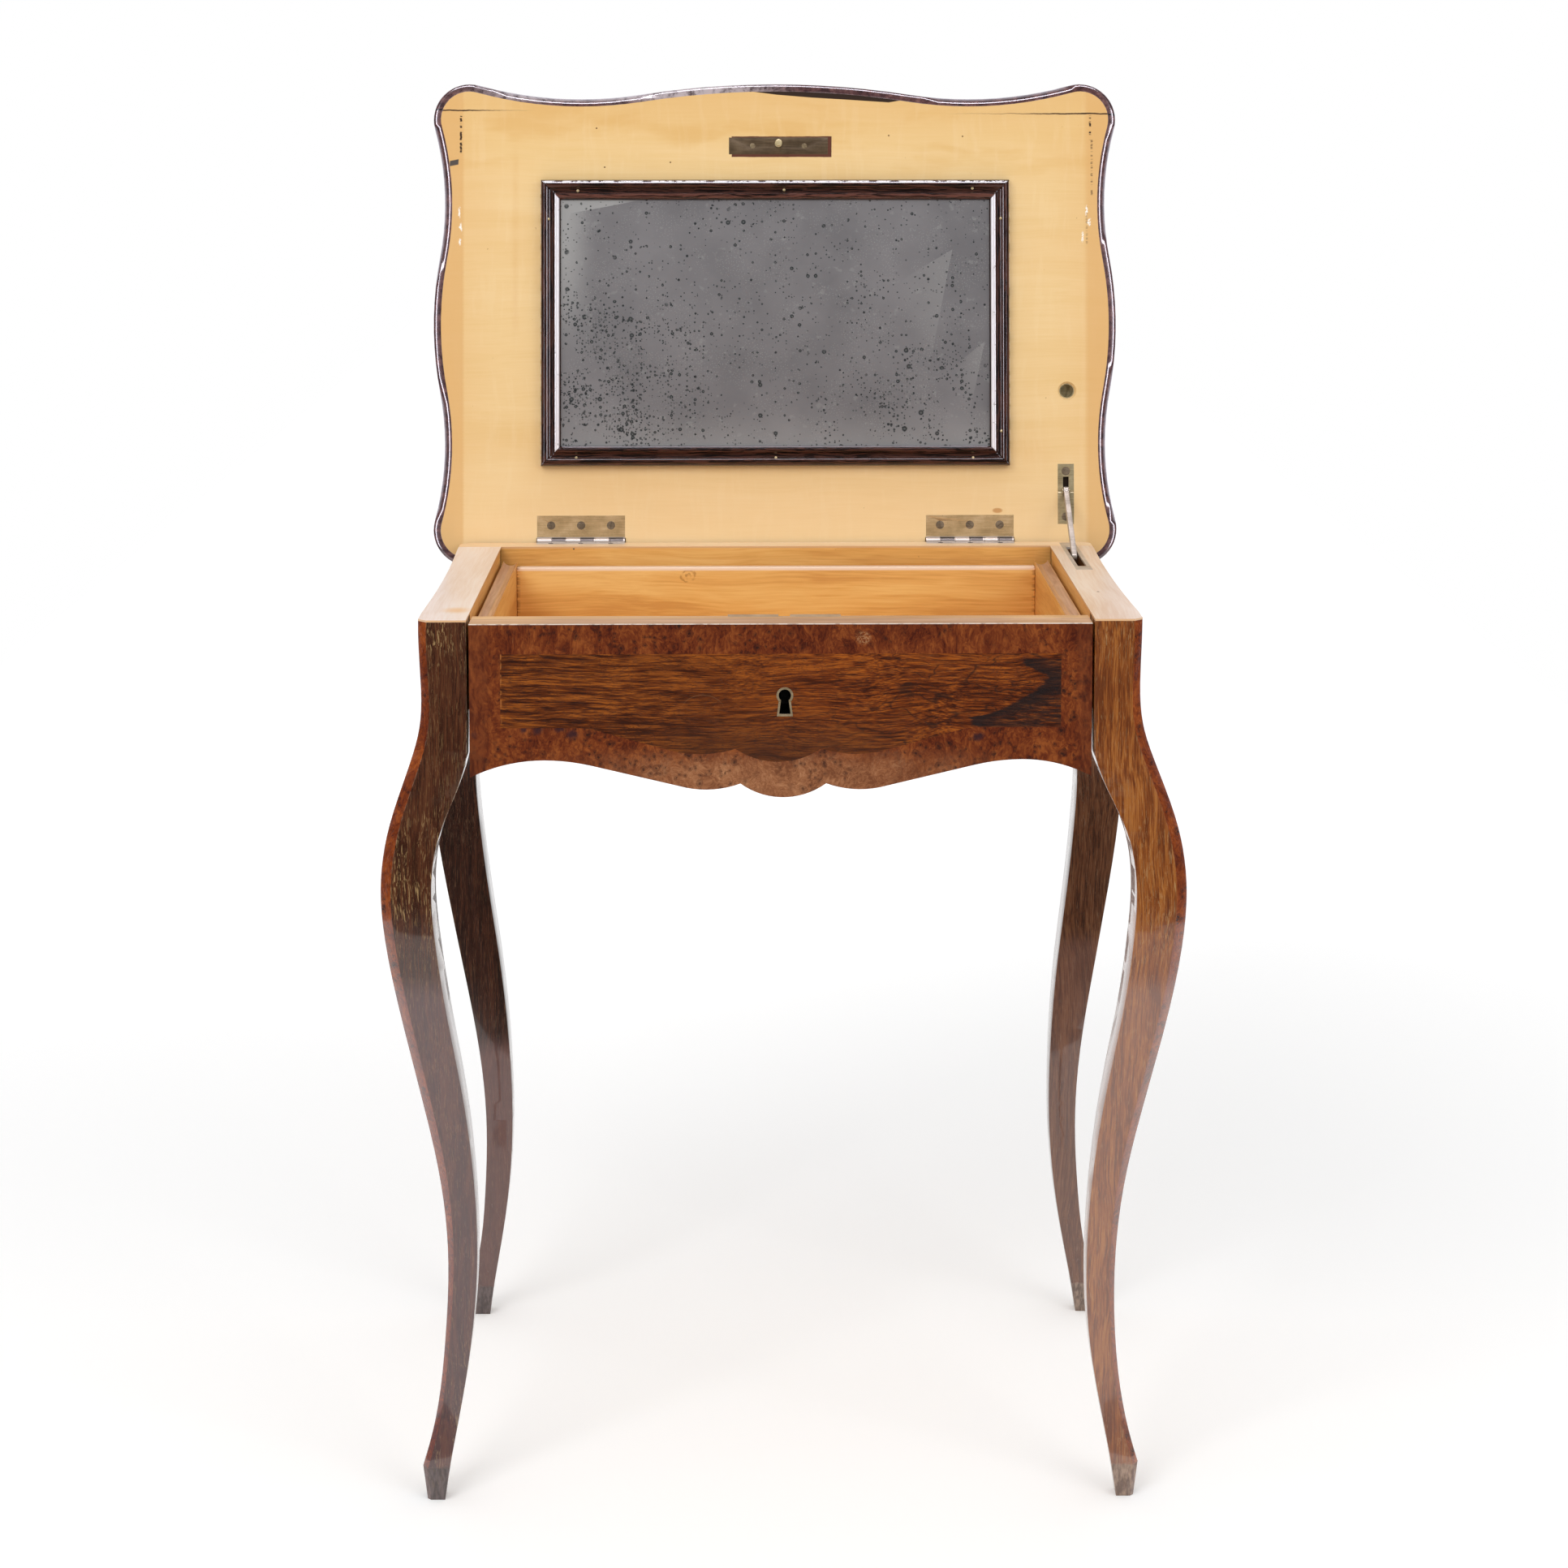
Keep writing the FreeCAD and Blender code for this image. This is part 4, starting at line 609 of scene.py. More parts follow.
SCUFF = (1064, 786)
FIELD_GOLDEN = ((0.034, 0.006, 0.001), (0.122, 0.0245, 0.002), (0.31, 0.082, 0.006))
FIELD_RED = ((0.042, 0.007, 0.001), (0.155, 0.0285, 0.002), (0.34, 0.084, 0.005))
LID_TOP_RED = ((0.044, 0.009, 0.002), (0.135, 0.031, 0.005), (0.29, 0.088, 0.014))
FRONT_GLOSS = {"rough": 0.30, "shine": 0.3, "coat": 0.6, "coat_rough": 0.10}


def flash(paint, place):
    """The black flash in the field: darkest along its curved left edge, streaky behind it."""
    x, _, z = paint.split(place)
    x = x + (paint.noise(paint.scaled(place, 50.0, 50.0, 260.0), 1.0, 4.0, 0.7) - 0.5) * 0.020
    (top_row, _), (end_row, _) = FLASH_EDGE[0], FLASH_EDGE[-1]
    top, end = (on_front(FLASH_MIDDLE, row).z for row in (top_row, end_row))
    first, last = (on_front(column, FIELD_ROW).x for column in FLASH_COLUMNS)
    stops = []
    for row, column in FLASH_EDGE:
        share = (on_front(column, row).x - first) / (last - first)
        stops.append(((row - top_row) / (end_row - top_row), (share, share, share)))
    edge = paint.split(paint.ramp((top - z) / (top - end), *stops))[0] * (last - first) + first
    behind = x - edge
    solid = paint.rise(behind, -0.0015, 0.003) * paint.rise(behind, 0.050, 0.004)
    streaks = paint.rise(fibres(paint, place, "x", 420.0, 0.10), 0.44, 0.52)
    streaky = paint.rise(behind, 0.0, 0.004) * streaks * 0.8
    return solid.most(streaky) * paint.between(z, end, top, 0.0012)


def field_finish():
    paint = Paint("drawer_field", **FRONT_GLOSS)
    place = paint.place
    x, _, z = paint.split(place)
    golden = rosewood_colour(paint, place, "x", FIELD_GOLDEN, width=0.65)
    red = rosewood_colour(paint, place, "x", FIELD_RED, 0.012, 0.65)
    colour = paint.mix(paint.rise(x, *RED_FROM), golden, red)
    lines = dashes(paint, paint.drift(place, 16.0, 0.012), "x", 0.52, 0.62)
    colour = paint.mix(lines * 0.55, colour, PORE)
    wild = paint.scaled(paint.drift(place, 14.0, 0.02), 10.0, 10.0, 34.0)
    veins = paint.rise(abs(paint.noise(wild, 1.0, 3.0) - 0.5), 0.012, 0.0)
    colour = paint.mix(veins * paint.rise(x, *VEINS_FROM) * 0.7, colour, (0.022, 0.008, 0.005))
    dusk = paint.rise(z, *DUSK_HEIGHTS) * paint.rise(abs(x), *DUSK_REACH)
    colour = paint.mix(dusk * 0.60, colour, (0.044, 0.017, 0.008))
    colour = paint.mix(flash(paint, place) * 0.9, colour, (0.013, 0.009, 0.009))
    colour = paint.mix(hairlines(paint, place, "x", 0.18), colour, (0.46, 0.24, 0.08))
    string = paint.between(x, *(on_front(column, FIELD_ROW).x for column in STRING_COLUMNS), 0.0004)
    string = string * paint.rise(paint.noise(place, 160.0, 3.0), 0.42, 0.56)
    colour = paint.mix(string * 0.8, colour, (0.34, 0.11, 0.022))
    middle = on_front(*SCRATCH_MIDDLE)
    turn = paint.near(place, middle, (SCRATCH_REACH, 1.0, SCRATCH_REACH * 0.8), 1.0)
    scratch = paint.rise(abs(turn - 0.06), 0.022, 0.0) * paint.rise(z, middle.z, 0.660)
    colour = paint.mix(scratch * 0.40, colour, (0.55, 0.32, 0.15))
    paint.relief(lines, 0.00004)
    return paint.done(colour)


def band_finish():
    """Burr borders: dark and reddish above, more golden below, with a painted highlight along the top
    edge.
    """
    paint = Paint("drawer_burr", **FRONT_GLOSS)
    place = paint.place
    x, _, z = paint.split(place)
    upper = burr_colour(paint, place, BURR_TONES, 0.55)
    lower = burr_colour(paint, place, BURR_GOLDEN, eye=GOLDEN_EYE)
    middle = paint.rise(z, *GOLDEN_HEIGHTS) * paint.rise(abs(x), *GOLDEN_REACH)
    colour = paint.mix(middle, upper, lower)
    clouded = paint.drift(place, 120.0, 0.003)
    for column, row, wide in DARK_CLOUDS:
        cloud = paint.near(clouded, on_front(column, row), (wide, 0.05, 0.0045), 0.8)
        colour = paint.mix(cloud * 0.85, colour, (0.034, 0.012, 0.016))
    ends = paint.rise(abs(x - 0.002), *ENDS_FROM)
    grain = fibres(paint, paint.drift(place, 24.0, 0.014), "z", 260.0, 0.14)
    crotch = paint.ramp(grain, (0.42, (0.085, 0.016, 0.005)), (0.60, (0.22, 0.055, 0.013)))
    colour = paint.mix(ends * 0.55, colour, crotch)
    colour = paint.mix(hairlines(paint, place, "z", 0.26), colour, (0.46, 0.20, 0.07))
    colour = paint.mix(paint.rise(paint.facing()[2], 0.6, 0.9), colour, (0.60, 0.38, 0.25))
    # A painted highlight along the top edge, broken by noise.
    wear_and_highlight = paint.rise(paint.noise(place, 130.0, 4.0, 0.7), 0.36, 0.52) * 0.45 + 0.35
    colour = paint.mix(paint.rise(z, *TOP_EDGE_HIGHLIGHT) * wear_and_highlight, colour, (0.92, 0.82, 0.72))
    scuff = paint.near(place, on_front(*SCUFF), (0.007, 0.05, 0.006))
    rubbing_and_highlight = scuff * paint.rise(paint.noise(place, 900.0), 0.45, 0.55)
    colour = paint.mix(rubbing_and_highlight * 0.6, colour, (0.42, 0.22, 0.10))
    return paint.done(colour)


def lid_top_finish(name, burr):
    """The lid's upper side in the drawer front's woods, in the lid's own frame."""
    paint = Paint(name, **FRONT_GLOSS)
    x, y, z = paint.split(paint.lid_place())
    flat = paint.node("ShaderNodeCombineXYZ", None, x, z, y)
    if burr:
        colour = burr_colour(paint, flat, BURR_TONES, 0.8)
    else:
        colour = rosewood_colour(paint, flat, "x", LID_TOP_RED, 0.012, 0.85)
        lines = dashes(paint, paint.drift(flat, 16.0, 0.012), "x", 0.52, 0.62)
        colour = paint.mix(lines * 0.5, colour, PORE)
    return paint.done(paint.mix(hairlines(paint, flat, "x", 0.16), colour, (0.46, 0.22, 0.08)))


drawer_field = field_finish()
drawer_burr = band_finish()
lid_top_burr = lid_top_finish("lid_top_burr", True)
lid_top_rosewood = lid_top_finish("lid_top_rosewood", False)
print("drawer front and the lid's upper side ready")

# %% [markdown]
# ## Pale woods
#
# Inside, the table is maple and sycamore under clear varnish: golden, with a quiet grain and small
# darker specks, and painted shade deepens the colour low on the inner rails. Tops that the sun reached
# are pinkish.

# %% Mix the pale woods
GOLDEN = ((0.68, 0.33, 0.085), (0.81, 0.44, 0.125), (0.89, 0.54, 0.18))
HONEY = ((0.82, 0.56, 0.245), (0.86, 0.605, 0.29), (0.89, 0.645, 0.335))
WALNUT = ((0.50, 0.265, 0.145), (0.65, 0.385, 0.235), (0.76, 0.48, 0.32))
TAN = ((0.58, 0.30, 0.125), (0.73, 0.42, 0.20), (0.82, 0.53, 0.29))
BEECH = ((0.42, 0.25, 0.11), (0.52, 0.33, 0.16), (0.60, 0.40, 0.21))
LEFT_MAPLE = ((0.86, 0.67, 0.53), (0.92, 0.76, 0.65), (0.95, 0.83, 0.74))
RIGHT_MAPLE = ((0.80, 0.56, 0.38), (0.87, 0.67, 0.51), (0.92, 0.76, 0.62))
REAR_MAPLE = ((0.88, 0.58, 0.31), (0.94, 0.67, 0.40), (0.96, 0.74, 0.50))
CASE_TONES = ((0.042, 0.011, 0.003), (0.110, 0.034, 0.010), (0.21, 0.080, 0.024))
WAXED = {"rough": 0.42, "shine": 0.3, "coat": 0.15, "coat_rough": 0.2}
BACK_KNOT = (848, 710)
BACK_HOLE = (707, 676)
KEY_PIXEL = (965, 865)
CAP_GLOW = (562, 752)
CAP_SPECK = (1353, 729)
SCRIBED_LINE = (0.2322, 0.2330)
CORE_TOP = (0.6955, 0.6965)
RAIL_SHADE = (0.690, 0.655)


def pale_wood(paint, along, tones, place=None, quiet=0.12):
    """A quiet pale wood with long soft figure and a few small dark specks."""
    place = place or paint.place
    bent = paint.drift(place, 5.0, 0.010)
    figure = fibres(paint, bent, along, 45.0, 0.10)
    fine = fibres(paint, bent, along, 520.0, 0.03)
    tone = figure * 0.6 + fine * 0.4
    places = (0.50 - quiet, 0.50, 0.50 + quiet)
    colour = paint.ramp(tone, *zip(places, tones))
    specks = paint.rise(paint.noise(place, 210.0, 2.0), 0.755, 0.80)
    return paint.mix(specks * 0.5, colour, (0.34, 0.15, 0.045))


def plain_finish(name, along, tones, **gloss):
    paint = Paint(name, **{**WAXED, **gloss})
    return paint.done(pale_wood(paint, along, tones))


def rail_finish():
    """The inner rails: golden, deeper towards the bottom where the light doesn't reach."""
    paint = Paint("golden_rails", **WAXED)
    colour = pale_wood(paint, "y", GOLDEN)
    z = paint.split(paint.place)[2]
    return paint.done(paint.mix(paint.rise(z, *RAIL_SHADE) * 0.5, colour, (0.30, 0.125, 0.035)))


def wall_finish():
    """Drawer sides: golden inside, their tops walnut outside the scribed line and tan inside it."""
    paint = Paint("drawer_walls", **WAXED)
    outer = paint.rise(abs(paint.split(paint.place)[0]), *SCRIBED_LINE)
    top = paint.mix(outer, pale_wood(paint, "y", TAN), pale_wood(paint, "y", WALNUT))
    upward = paint.rise(paint.facing()[2], 0.3, 0.6)
    return paint.done(paint.mix(upward, pale_wood(paint, "y", GOLDEN), top))


def back_board_finish():
    """The drawer's back: golden with a dark swirl, a painted highlight along its top and jagged dark
    ends.
    """
    paint = Paint("drawer_back_maple", rough=0.40, shine=0.3, coat=0.2, coat_rough=0.2)
    place = paint.place
    x, _, z = paint.split(place)
    low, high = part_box("drawer_back")
    colour = pale_wood(paint, "x", GOLDEN)
    knot = seen_at(*BACK_KNOT, low, (0.0, 1.0, 0.0))
    turned = paint.near(paint.drift(place, 150.0, 0.003), knot, (0.013, 0.05, 0.009), 1.0)
    swirl = paint.rise(abs(turned - 0.5), 0.22, 0.0).most(paint.rise(turned, 0.86, 0.94))
    swirl = swirl * paint.rise(paint.noise(place, 180.0), 0.40, 0.56)
    colour = paint.mix(swirl * 0.6, colour, (0.34, 0.135, 0.030))
    # A painted highlight along the top edge.
    rubbing_and_highlight = paint.rise(z, high[2] - 0.0035, high[2] - 0.0020)
    colour = paint.mix(rubbing_and_highlight * 0.85, colour, (0.93, 0.72, 0.56))
    jagged = paint.rise(paint.noise(paint.scaled(place, 60.0, 60.0, 700.0), 1.0, 3.0), 0.45, 0.55)
    ends = paint.rise(abs(x), high[0] - 0.004, high[0] - 0.0009)
    return paint.done(paint.mix(ends * jagged * 0.6, colour, (0.26, 0.10, 0.03)))


def core_finish():
    """The drawer front's body: a walnut top with a tan strip behind, and near-black painted shade
    inside the keyhole.
    """
    paint = Paint("drawer_core", rough=0.40, shine=0.3, coat=0.3, coat_rough=0.15)
    x, y, z = paint.split(paint.place)
    back_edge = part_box("drawer_front_core")[1][1]
    strip = paint.rise(y, back_edge - 0.0112, back_edge - 0.0106)
    top = paint.mix(strip, pale_wood(paint, "x", WALNUT), pale_wood(paint, "x", TAN))
    colour = paint.mix(paint.rise(z, *CORE_TOP), pale_wood(paint, "x", GOLDEN), top)
    # Painted shade inside the keyhole.
    key = on_front(*KEY_PIXEL)
    hole_shade = paint.between(x, key.x - 0.012, key.x + 0.012, 0.0005)
    hole_shade = hole_shade * paint.between(z, key.z - 0.03, key.z + 0.03, 0.0005)
    hole_shade = hole_shade * paint.rise(y, back_edge - 0.0005, back_edge - 0.001)
    return paint.done(paint.mix(hole_shade, colour, (0.004, 0.003, 0.003)))


def cap_finish(name, along, tones):
    """The pale facing on top of the case, with a warm patch at the left front and a few specks."""
    paint = Paint(name, rough=0.42, shine=0.35, coat=0.25, coat_rough=0.25)
    place = paint.place
    colour = pale_wood(paint, along, tones)
    glow = paint.near(place, on_top(*CAP_GLOW), (0.016, 0.018, 0.02), 0.9)
    colour = paint.mix(glow * 0.75, colour, (0.88, 0.50, 0.19))
    speck = paint.near(place, on_top(*CAP_SPECK), (0.0014, 0.003, 0.02))
    colour = paint.mix(speck * 0.8, colour, (0.30, 0.15, 0.07))
    across, deep, _ = (abs(part) for part in paint.facing())
    return paint.done(paint.mix(paint.rise(across.most(deep), 0.5, 0.8), colour, (0.72, 0.43, 0.22)))


def case_rosewood(name, along, inner_from=None):
    """The case's show wood; the back's inner face is golden maple, with one small hole painted dark
    with the shade inside it.
    """
    paint = Paint(name, rough=0.32, shine=0.3, coat=0.5, coat_rough=0.10)
    place = paint.place
    colour = rosewood_colour(paint, place, along, CASE_TONES, 0.010, 0.85)
    colour = paint.mix(dashes(paint, place, along, 0.54, 0.64) * 0.5, colour, (0.022, 0.008, 0.004))
    colour = paint.mix(hairlines(paint, place, along, 0.16), colour, (0.42, 0.26, 0.13))
    if inner_from is not None:
        inner = paint.rise(paint.split(place)[1], inner_from + 0.004, inner_from + 0.003)
        # A small hole, painted dark with the shade inside it.
        spot = seen_at(*BACK_HOLE, (0.0, inner_from, 0.0), (0.0, 1.0, 0.0))
        hole_shade = paint.near(place, spot, (0.0011, 0.01, 0.0011))
        golden = paint.mix(hole_shade, pale_wood(paint, "x", GOLDEN), (0.04, 0.02, 0.01))
        colour = paint.mix(inner, colour, golden)
    return paint.done(colour)


golden_rails = rail_finish()
drawer_walls = wall_finish()
drawer_back = back_board_finish()
drawer_core = core_finish()
golden_floor = plain_finish("golden_bottom", "x", GOLDEN)
bare_beech = plain_finish("beech", "y", BEECH, rough=0.6, coat=0.0)
cap_left = cap_finish("maple_left", "y", LEFT_MAPLE)
cap_right = cap_finish("maple_right", "y", RIGHT_MAPLE)
cap_rear = cap_finish("maple_rear", "x", REAR_MAPLE)
side_rosewood = case_rosewood("rosewood_sides", "y")
back_rosewood = case_rosewood("rosewood_back", "x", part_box("back_apron")[0][1])
print("pale woods ready")

# %% [markdown]
# ## The lid's underside
#
# A hundred years of opening have marked it: the board split along its grain near the front edge, the
# end clamps pulled away in ragged lines, a chip is gone at the left, and the bolt's old mortise shows
# as a red border round the strike plate. Painted light comes with these marks: the rim's painted shadow
# lies in the gap under it, the stay's slot opens on a hollow painted dark with its shade, and painted
# highlights sit at the clamps' joints. Each mark is a soft shape in the lid's own frame, placed by its
# pixel.

# %% Finish the lid's underside
CLAMP_TONE = (0.74, 0.42, 0.150)
SHADOWED_GAP_EDGE = ((905, 105), (918, 112), (957, 117), (1000, 120.5), (1050, 123.5), (1095, 126.5),
            (1122, 122))
GAP_LOW_ROW = 135
SPLIT_DARK = (0.055, 0.028, 0.016)
SPLITS = (((665, 139), (560, 136)), ((1150, 138), (1340, 140)))
JOINT_COLUMNS = (571, 1338)
JOINT_ROW = 300
JOINT_DASHES = ((568, 140, 188, 1.0), (1343, 142, 172, 1.0), (1345, 168, 240, 0.60),
                (1339, 255, 300, 0.35))
STAIN_COLUMNS = (632, 638)
STAIN_MIDDLE = 634
STAIN_ROWS = (410, 190)
LID_KNOT = (1229, 629)
CHIP = (559.5, 200.5)
MORTISE = ((901.5, 193.5), (1024.5, 168))
JOINT_HIGHLIGHTS = ((566, 262, 0.0060), (568, 280, 0.0050), (567, 298, 0.0040), (1339, 259, 0.0060),
          (1342, 274, 0.0050), (1334, 292, 0.0060))
STAY_SLOT_SHADE = ((1306, 586), (1319, 618))
DOTS = ((826, 200), (735, 158), (1095, 167), (1186, 168), (745, 206))


def lid_stains(paint, place, colour):
    """Darker clamps, a darker rim, and a few warm stains."""
    x, y, _ = paint.split(place)
    left, right = (on_lid(column, JOINT_ROW).x for column in JOINT_COLUMNS)
    jag = x + (paint.noise(paint.scaled(place, 40.0, 600.0, 40.0), 1.0, 3.0, 0.7) - 0.5) * 0.0024
    strips = paint.rise(jag, left + 0.0015, left - 0.0015).most(
        paint.rise(jag, right - 0.003, right + 0.003))
    colour = paint.mix(strips * 0.62, colour, CLAMP_TONE)
    rim = paint.rise(abs(x), 0.235, 0.300).most(paint.rise(y, 0.345, 0.402))
    colour = paint.mix(rim * 0.35, colour, CLAMP_TONE)
    stain = paint.between(x, *(on_lid(column, JOINT_ROW).x for column in STAIN_COLUMNS), 0.003)
    stain = stain * paint.between(y, *(on_lid(STAIN_MIDDLE, row).y for row in STAIN_ROWS), 0.02)
    colour = paint.mix(stain * paint.noise(place, 90.0) * 0.5, colour, CLAMP_TONE)
    knot = paint.near(place, on_lid(*LID_KNOT), (0.0055, 0.0028, 0.1))
    return paint.mix(knot * 0.7, colour, (0.52, 0.22, 0.05))


def lid_cracks(paint, place, colour):
    """The split near the front edge, the open joints of the clamps, a chip, and painted highlights at
    the joints.
    """
    x, y, _ = paint.split(place)
    wobble = (paint.noise(place, 60.0, 4.0, 0.7) - 0.5) * 0.0020
    for start, end in SPLITS:
        towards_end = paint.rise(x, on_lid(*start).x, on_lid(*end).x)
        away = abs(y - on_lid(*end).y + wobble) - towards_end * towards_end * 0.0004
        line = paint.rise(away, 0.0004, 0.0)
        strength = (towards_end * 0.9 + 0.22) * paint.rise(towards_end, 0.0, 0.1)
        colour = paint.mix((line * strength).least(1.0), colour, SPLIT_DARK)
    jag = (paint.noise(paint.scaled(place, 40.0, 600.0, 40.0), 1.0, 3.0, 0.7) - 0.5) * 0.0020
    dash = paint.rise(paint.noise(paint.scaled(place, 20.0, 420.0, 20.0), 1.0, 3.0), 0.44, 0.52)
    for column, top, low, dark in JOINT_DASHES:
        line = paint.rise(abs(x - on_lid(column, top).x + jag), 0.0012, 0.0006) * dash
        span = paint.between(y, on_lid(column, low).y, on_lid(column, top).y, 0.001)
        colour = paint.mix(line * span * dark, colour, SPLIT_DARK)
    chip = on_lid(*CHIP)
    chipped = paint.rise(abs(x - chip.x + wobble), 0.0042, 0.0036)
    chipped = chipped * paint.rise(abs(y - chip.y + (x - chip.x) * -0.2), 0.0026, 0.0021)
    colour = paint.mix(chipped, colour, (0.10, 0.082, 0.072))
    # Painted highlights on the loose veneer at the clamps' joints.
    broken = paint.rise(paint.noise(place, 600.0, 3.0), 0.42, 0.47)
    jagged = paint.drift(place, 260.0, 0.0022)
    for column, row, reach in JOINT_HIGHLIGHTS:
        joint_highlight = paint.near(jagged, on_lid(column, row), (0.0016, reach, 0.1), 0.7)
        colour = paint.mix(joint_highlight * broken, colour, (1.0, 0.95, 0.86))
    return colour


def lid_recess(paint, place, colour):
    """The gap under the rim with the rim's painted shadow, the strike plate's red border, painted shade
    in the stay's hollow, and small dots.
    """
    x, y, _ = paint.split(place)
    ends = [on_lid(*pixel) for pixel in (SHADOWED_GAP_EDGE[0], SHADOWED_GAP_EDGE[-1])]
    span = ends[1].x - ends[0].x
    deepest = on_lid(SHADOWED_GAP_EDGE[0][0], GAP_LOW_ROW).y
    rise = on_lid(*SHADOWED_GAP_EDGE[0]).y - deepest
    stops = []
    for column, row in SHADOWED_GAP_EDGE:
        spot = on_lid(column, row)
        share = (spot.y - deepest) / rise
        stops.append(((spot.x - ends[0].x) / span, (share, share, share)))
    edge = paint.split(paint.ramp((x - ends[0].x) / span, *stops))[0] * rise + deepest
    # The dark gap under the rim, with the rim's painted shadow in it.
    gap_and_shadow = paint.rise(y - edge, 0.0, 0.0004) * paint.between(x, ends[0].x, ends[1].x, 0.0002)
    colour = paint.mix(gap_and_shadow, colour, (0.040, 0.022, 0.014))
    low, high = (on_lid(*pixel) for pixel in MORTISE)
    wobble = (paint.noise(place, 60.0, 4.0, 0.7) - 0.5) * 0.0010
    mortise = paint.between(x + wobble, low.x, high.x, 0.0003)
    mortise = mortise * paint.between(y + wobble, low.y, high.y, 0.0003)
    colour = paint.mix(mortise, colour, (0.13, 0.042, 0.024))
    # Painted shade in the stay's hollow under its slot.
    first, last = (on_lid(*pixel) for pixel in STAY_SLOT_SHADE)
    slot = paint.between(x, first.x, last.x, 0.0002) * paint.between(y, last.y, first.y, 0.0002)
    colour = paint.mix(slot, colour, (0.030, 0.018, 0.010))
    for column, row in DOTS:
        dot = paint.near(place, on_lid(column, row), (0.0009, 0.0009, 0.1))
        colour = paint.mix(dot, colour, (0.16, 0.07, 0.02))
    return colour


def lid_finish():
    paint = Paint("lid_sycamore", rough=0.40, shine=0.3, coat=0.12, coat_rough=0.2)
    place = paint.lid_place()
    colour = pale_wood(paint, "x", HONEY, place, 0.20)
    warm = paint.rise(paint.noise(paint.scaled(place, 5.0, 9.0, 1.0), 1.0, 3.0), 0.50, 0.66)
    colour = paint.mix(warm * 0.30, colour, (0.80, 0.50, 0.20))
    y = paint.split(place)[1]
    colour = paint.mix(paint.rise(y, 0.31, 0.38) * 0.45, colour, (0.80, 0.51, 0.185))
    golden = paint.rise(fibres(paint, paint.drift(place, 6.0, 0.02), "x", 26.0, 0.3), 0.50, 0.66)
    colour = paint.mix(golden * paint.rise(y, 0.30, 0.36) * 0.5, colour, (0.74, 0.43, 0.13))
    colour = paint.mix(paint.rise(y, 0.10, 0.0) * 0.5, colour, (0.95, 0.72, 0.42))
    flame = fibres(paint, paint.drift(place, 10.0, 0.01), "y", 130.0, 0.12)
    colour = paint.mix(paint.rise(flame, 0.5, 0.68) * 0.12, colour, (0.95, 0.75, 0.46))
    for marks in (lid_stains, lid_cracks, lid_recess):
        colour = marks(paint, place, colour)
    return paint.done(colour)


lid_under = lid_finish()
print("lid ready")

# %% [markdown]
# ## Dark mouldings
#
# The lid's rim is plum-brown rosewood, polished, with painted highlights along its edges and a painted
# sheen on the left half of its upper side, and cracked where the board's split reaches it. The mirror's
# frame is nearly black with a brown glow on its crests and painted white highlight lines along its
# edges.

# %% Finish the mouldings
SIDE_HIGHLIGHT = (0.1913, 0.1952)
TOP_HIGHLIGHT = (0.3183, 0.3200)
TOP_CREST = (0.3045, 0.3086)
RIM_TONES = ((0.38, (0.045, 0.018, 0.020)), (0.52, (0.105, 0.044, 0.044)),
             (0.66, (0.200, 0.095, 0.088)))
RIM_CRACKS = ((539, 135), (1375, 141))
SHEEN_REACH = (0.388, 0.396)
SHEEN_SPAN = (-0.25, -0.01, 0.04)
HIGHLIGHT_WHITE = (0.84, 0.82, 0.87)


def moulding_finish():
    paint = Paint("dark_moulding", rough=0.22, coat=1.0, coat_rough=0.08)
    place = paint.lid_place()
    x, y, _ = paint.split(place)
    cloud = paint.noise(paint.drift(place, 20.0, 0.01), 160.0, 5.0, 0.65)
    colour = paint.ramp(cloud, *RIM_TONES)
    for pixel in RIM_CRACKS:
        spot = on_lid(*pixel)
        line = paint.rise(abs(y - spot.y), 0.0010, 0.0005) * paint.rise(abs(x - spot.x), 0.02, 0.01)
        colour = paint.mix(line, colour, (0.008, 0.005, 0.004))
    # Painted highlights along the rim's edges, broken by noise.
    edge_highlight = paint.edges(0.0016, 1.6) * paint.rise(paint.noise(place, 26.0, 3.0), 0.34, 0.62)
    colour = paint.mix(edge_highlight * 0.75, colour, (0.66, 0.58, 0.62))
    # A painted sheen on the left half of the upper side.
    sheen = paint.rise(y, *SHEEN_REACH) * paint.between(x, *SHEEN_SPAN)
    sheen = sheen * paint.rise(cloud, 0.30, 0.56)
    colour = paint.mix(sheen * 0.6, colour, (0.72, 0.64, 0.67))
    paint.relief(cloud, 0.00004, 0.3)
    return paint.done(colour)


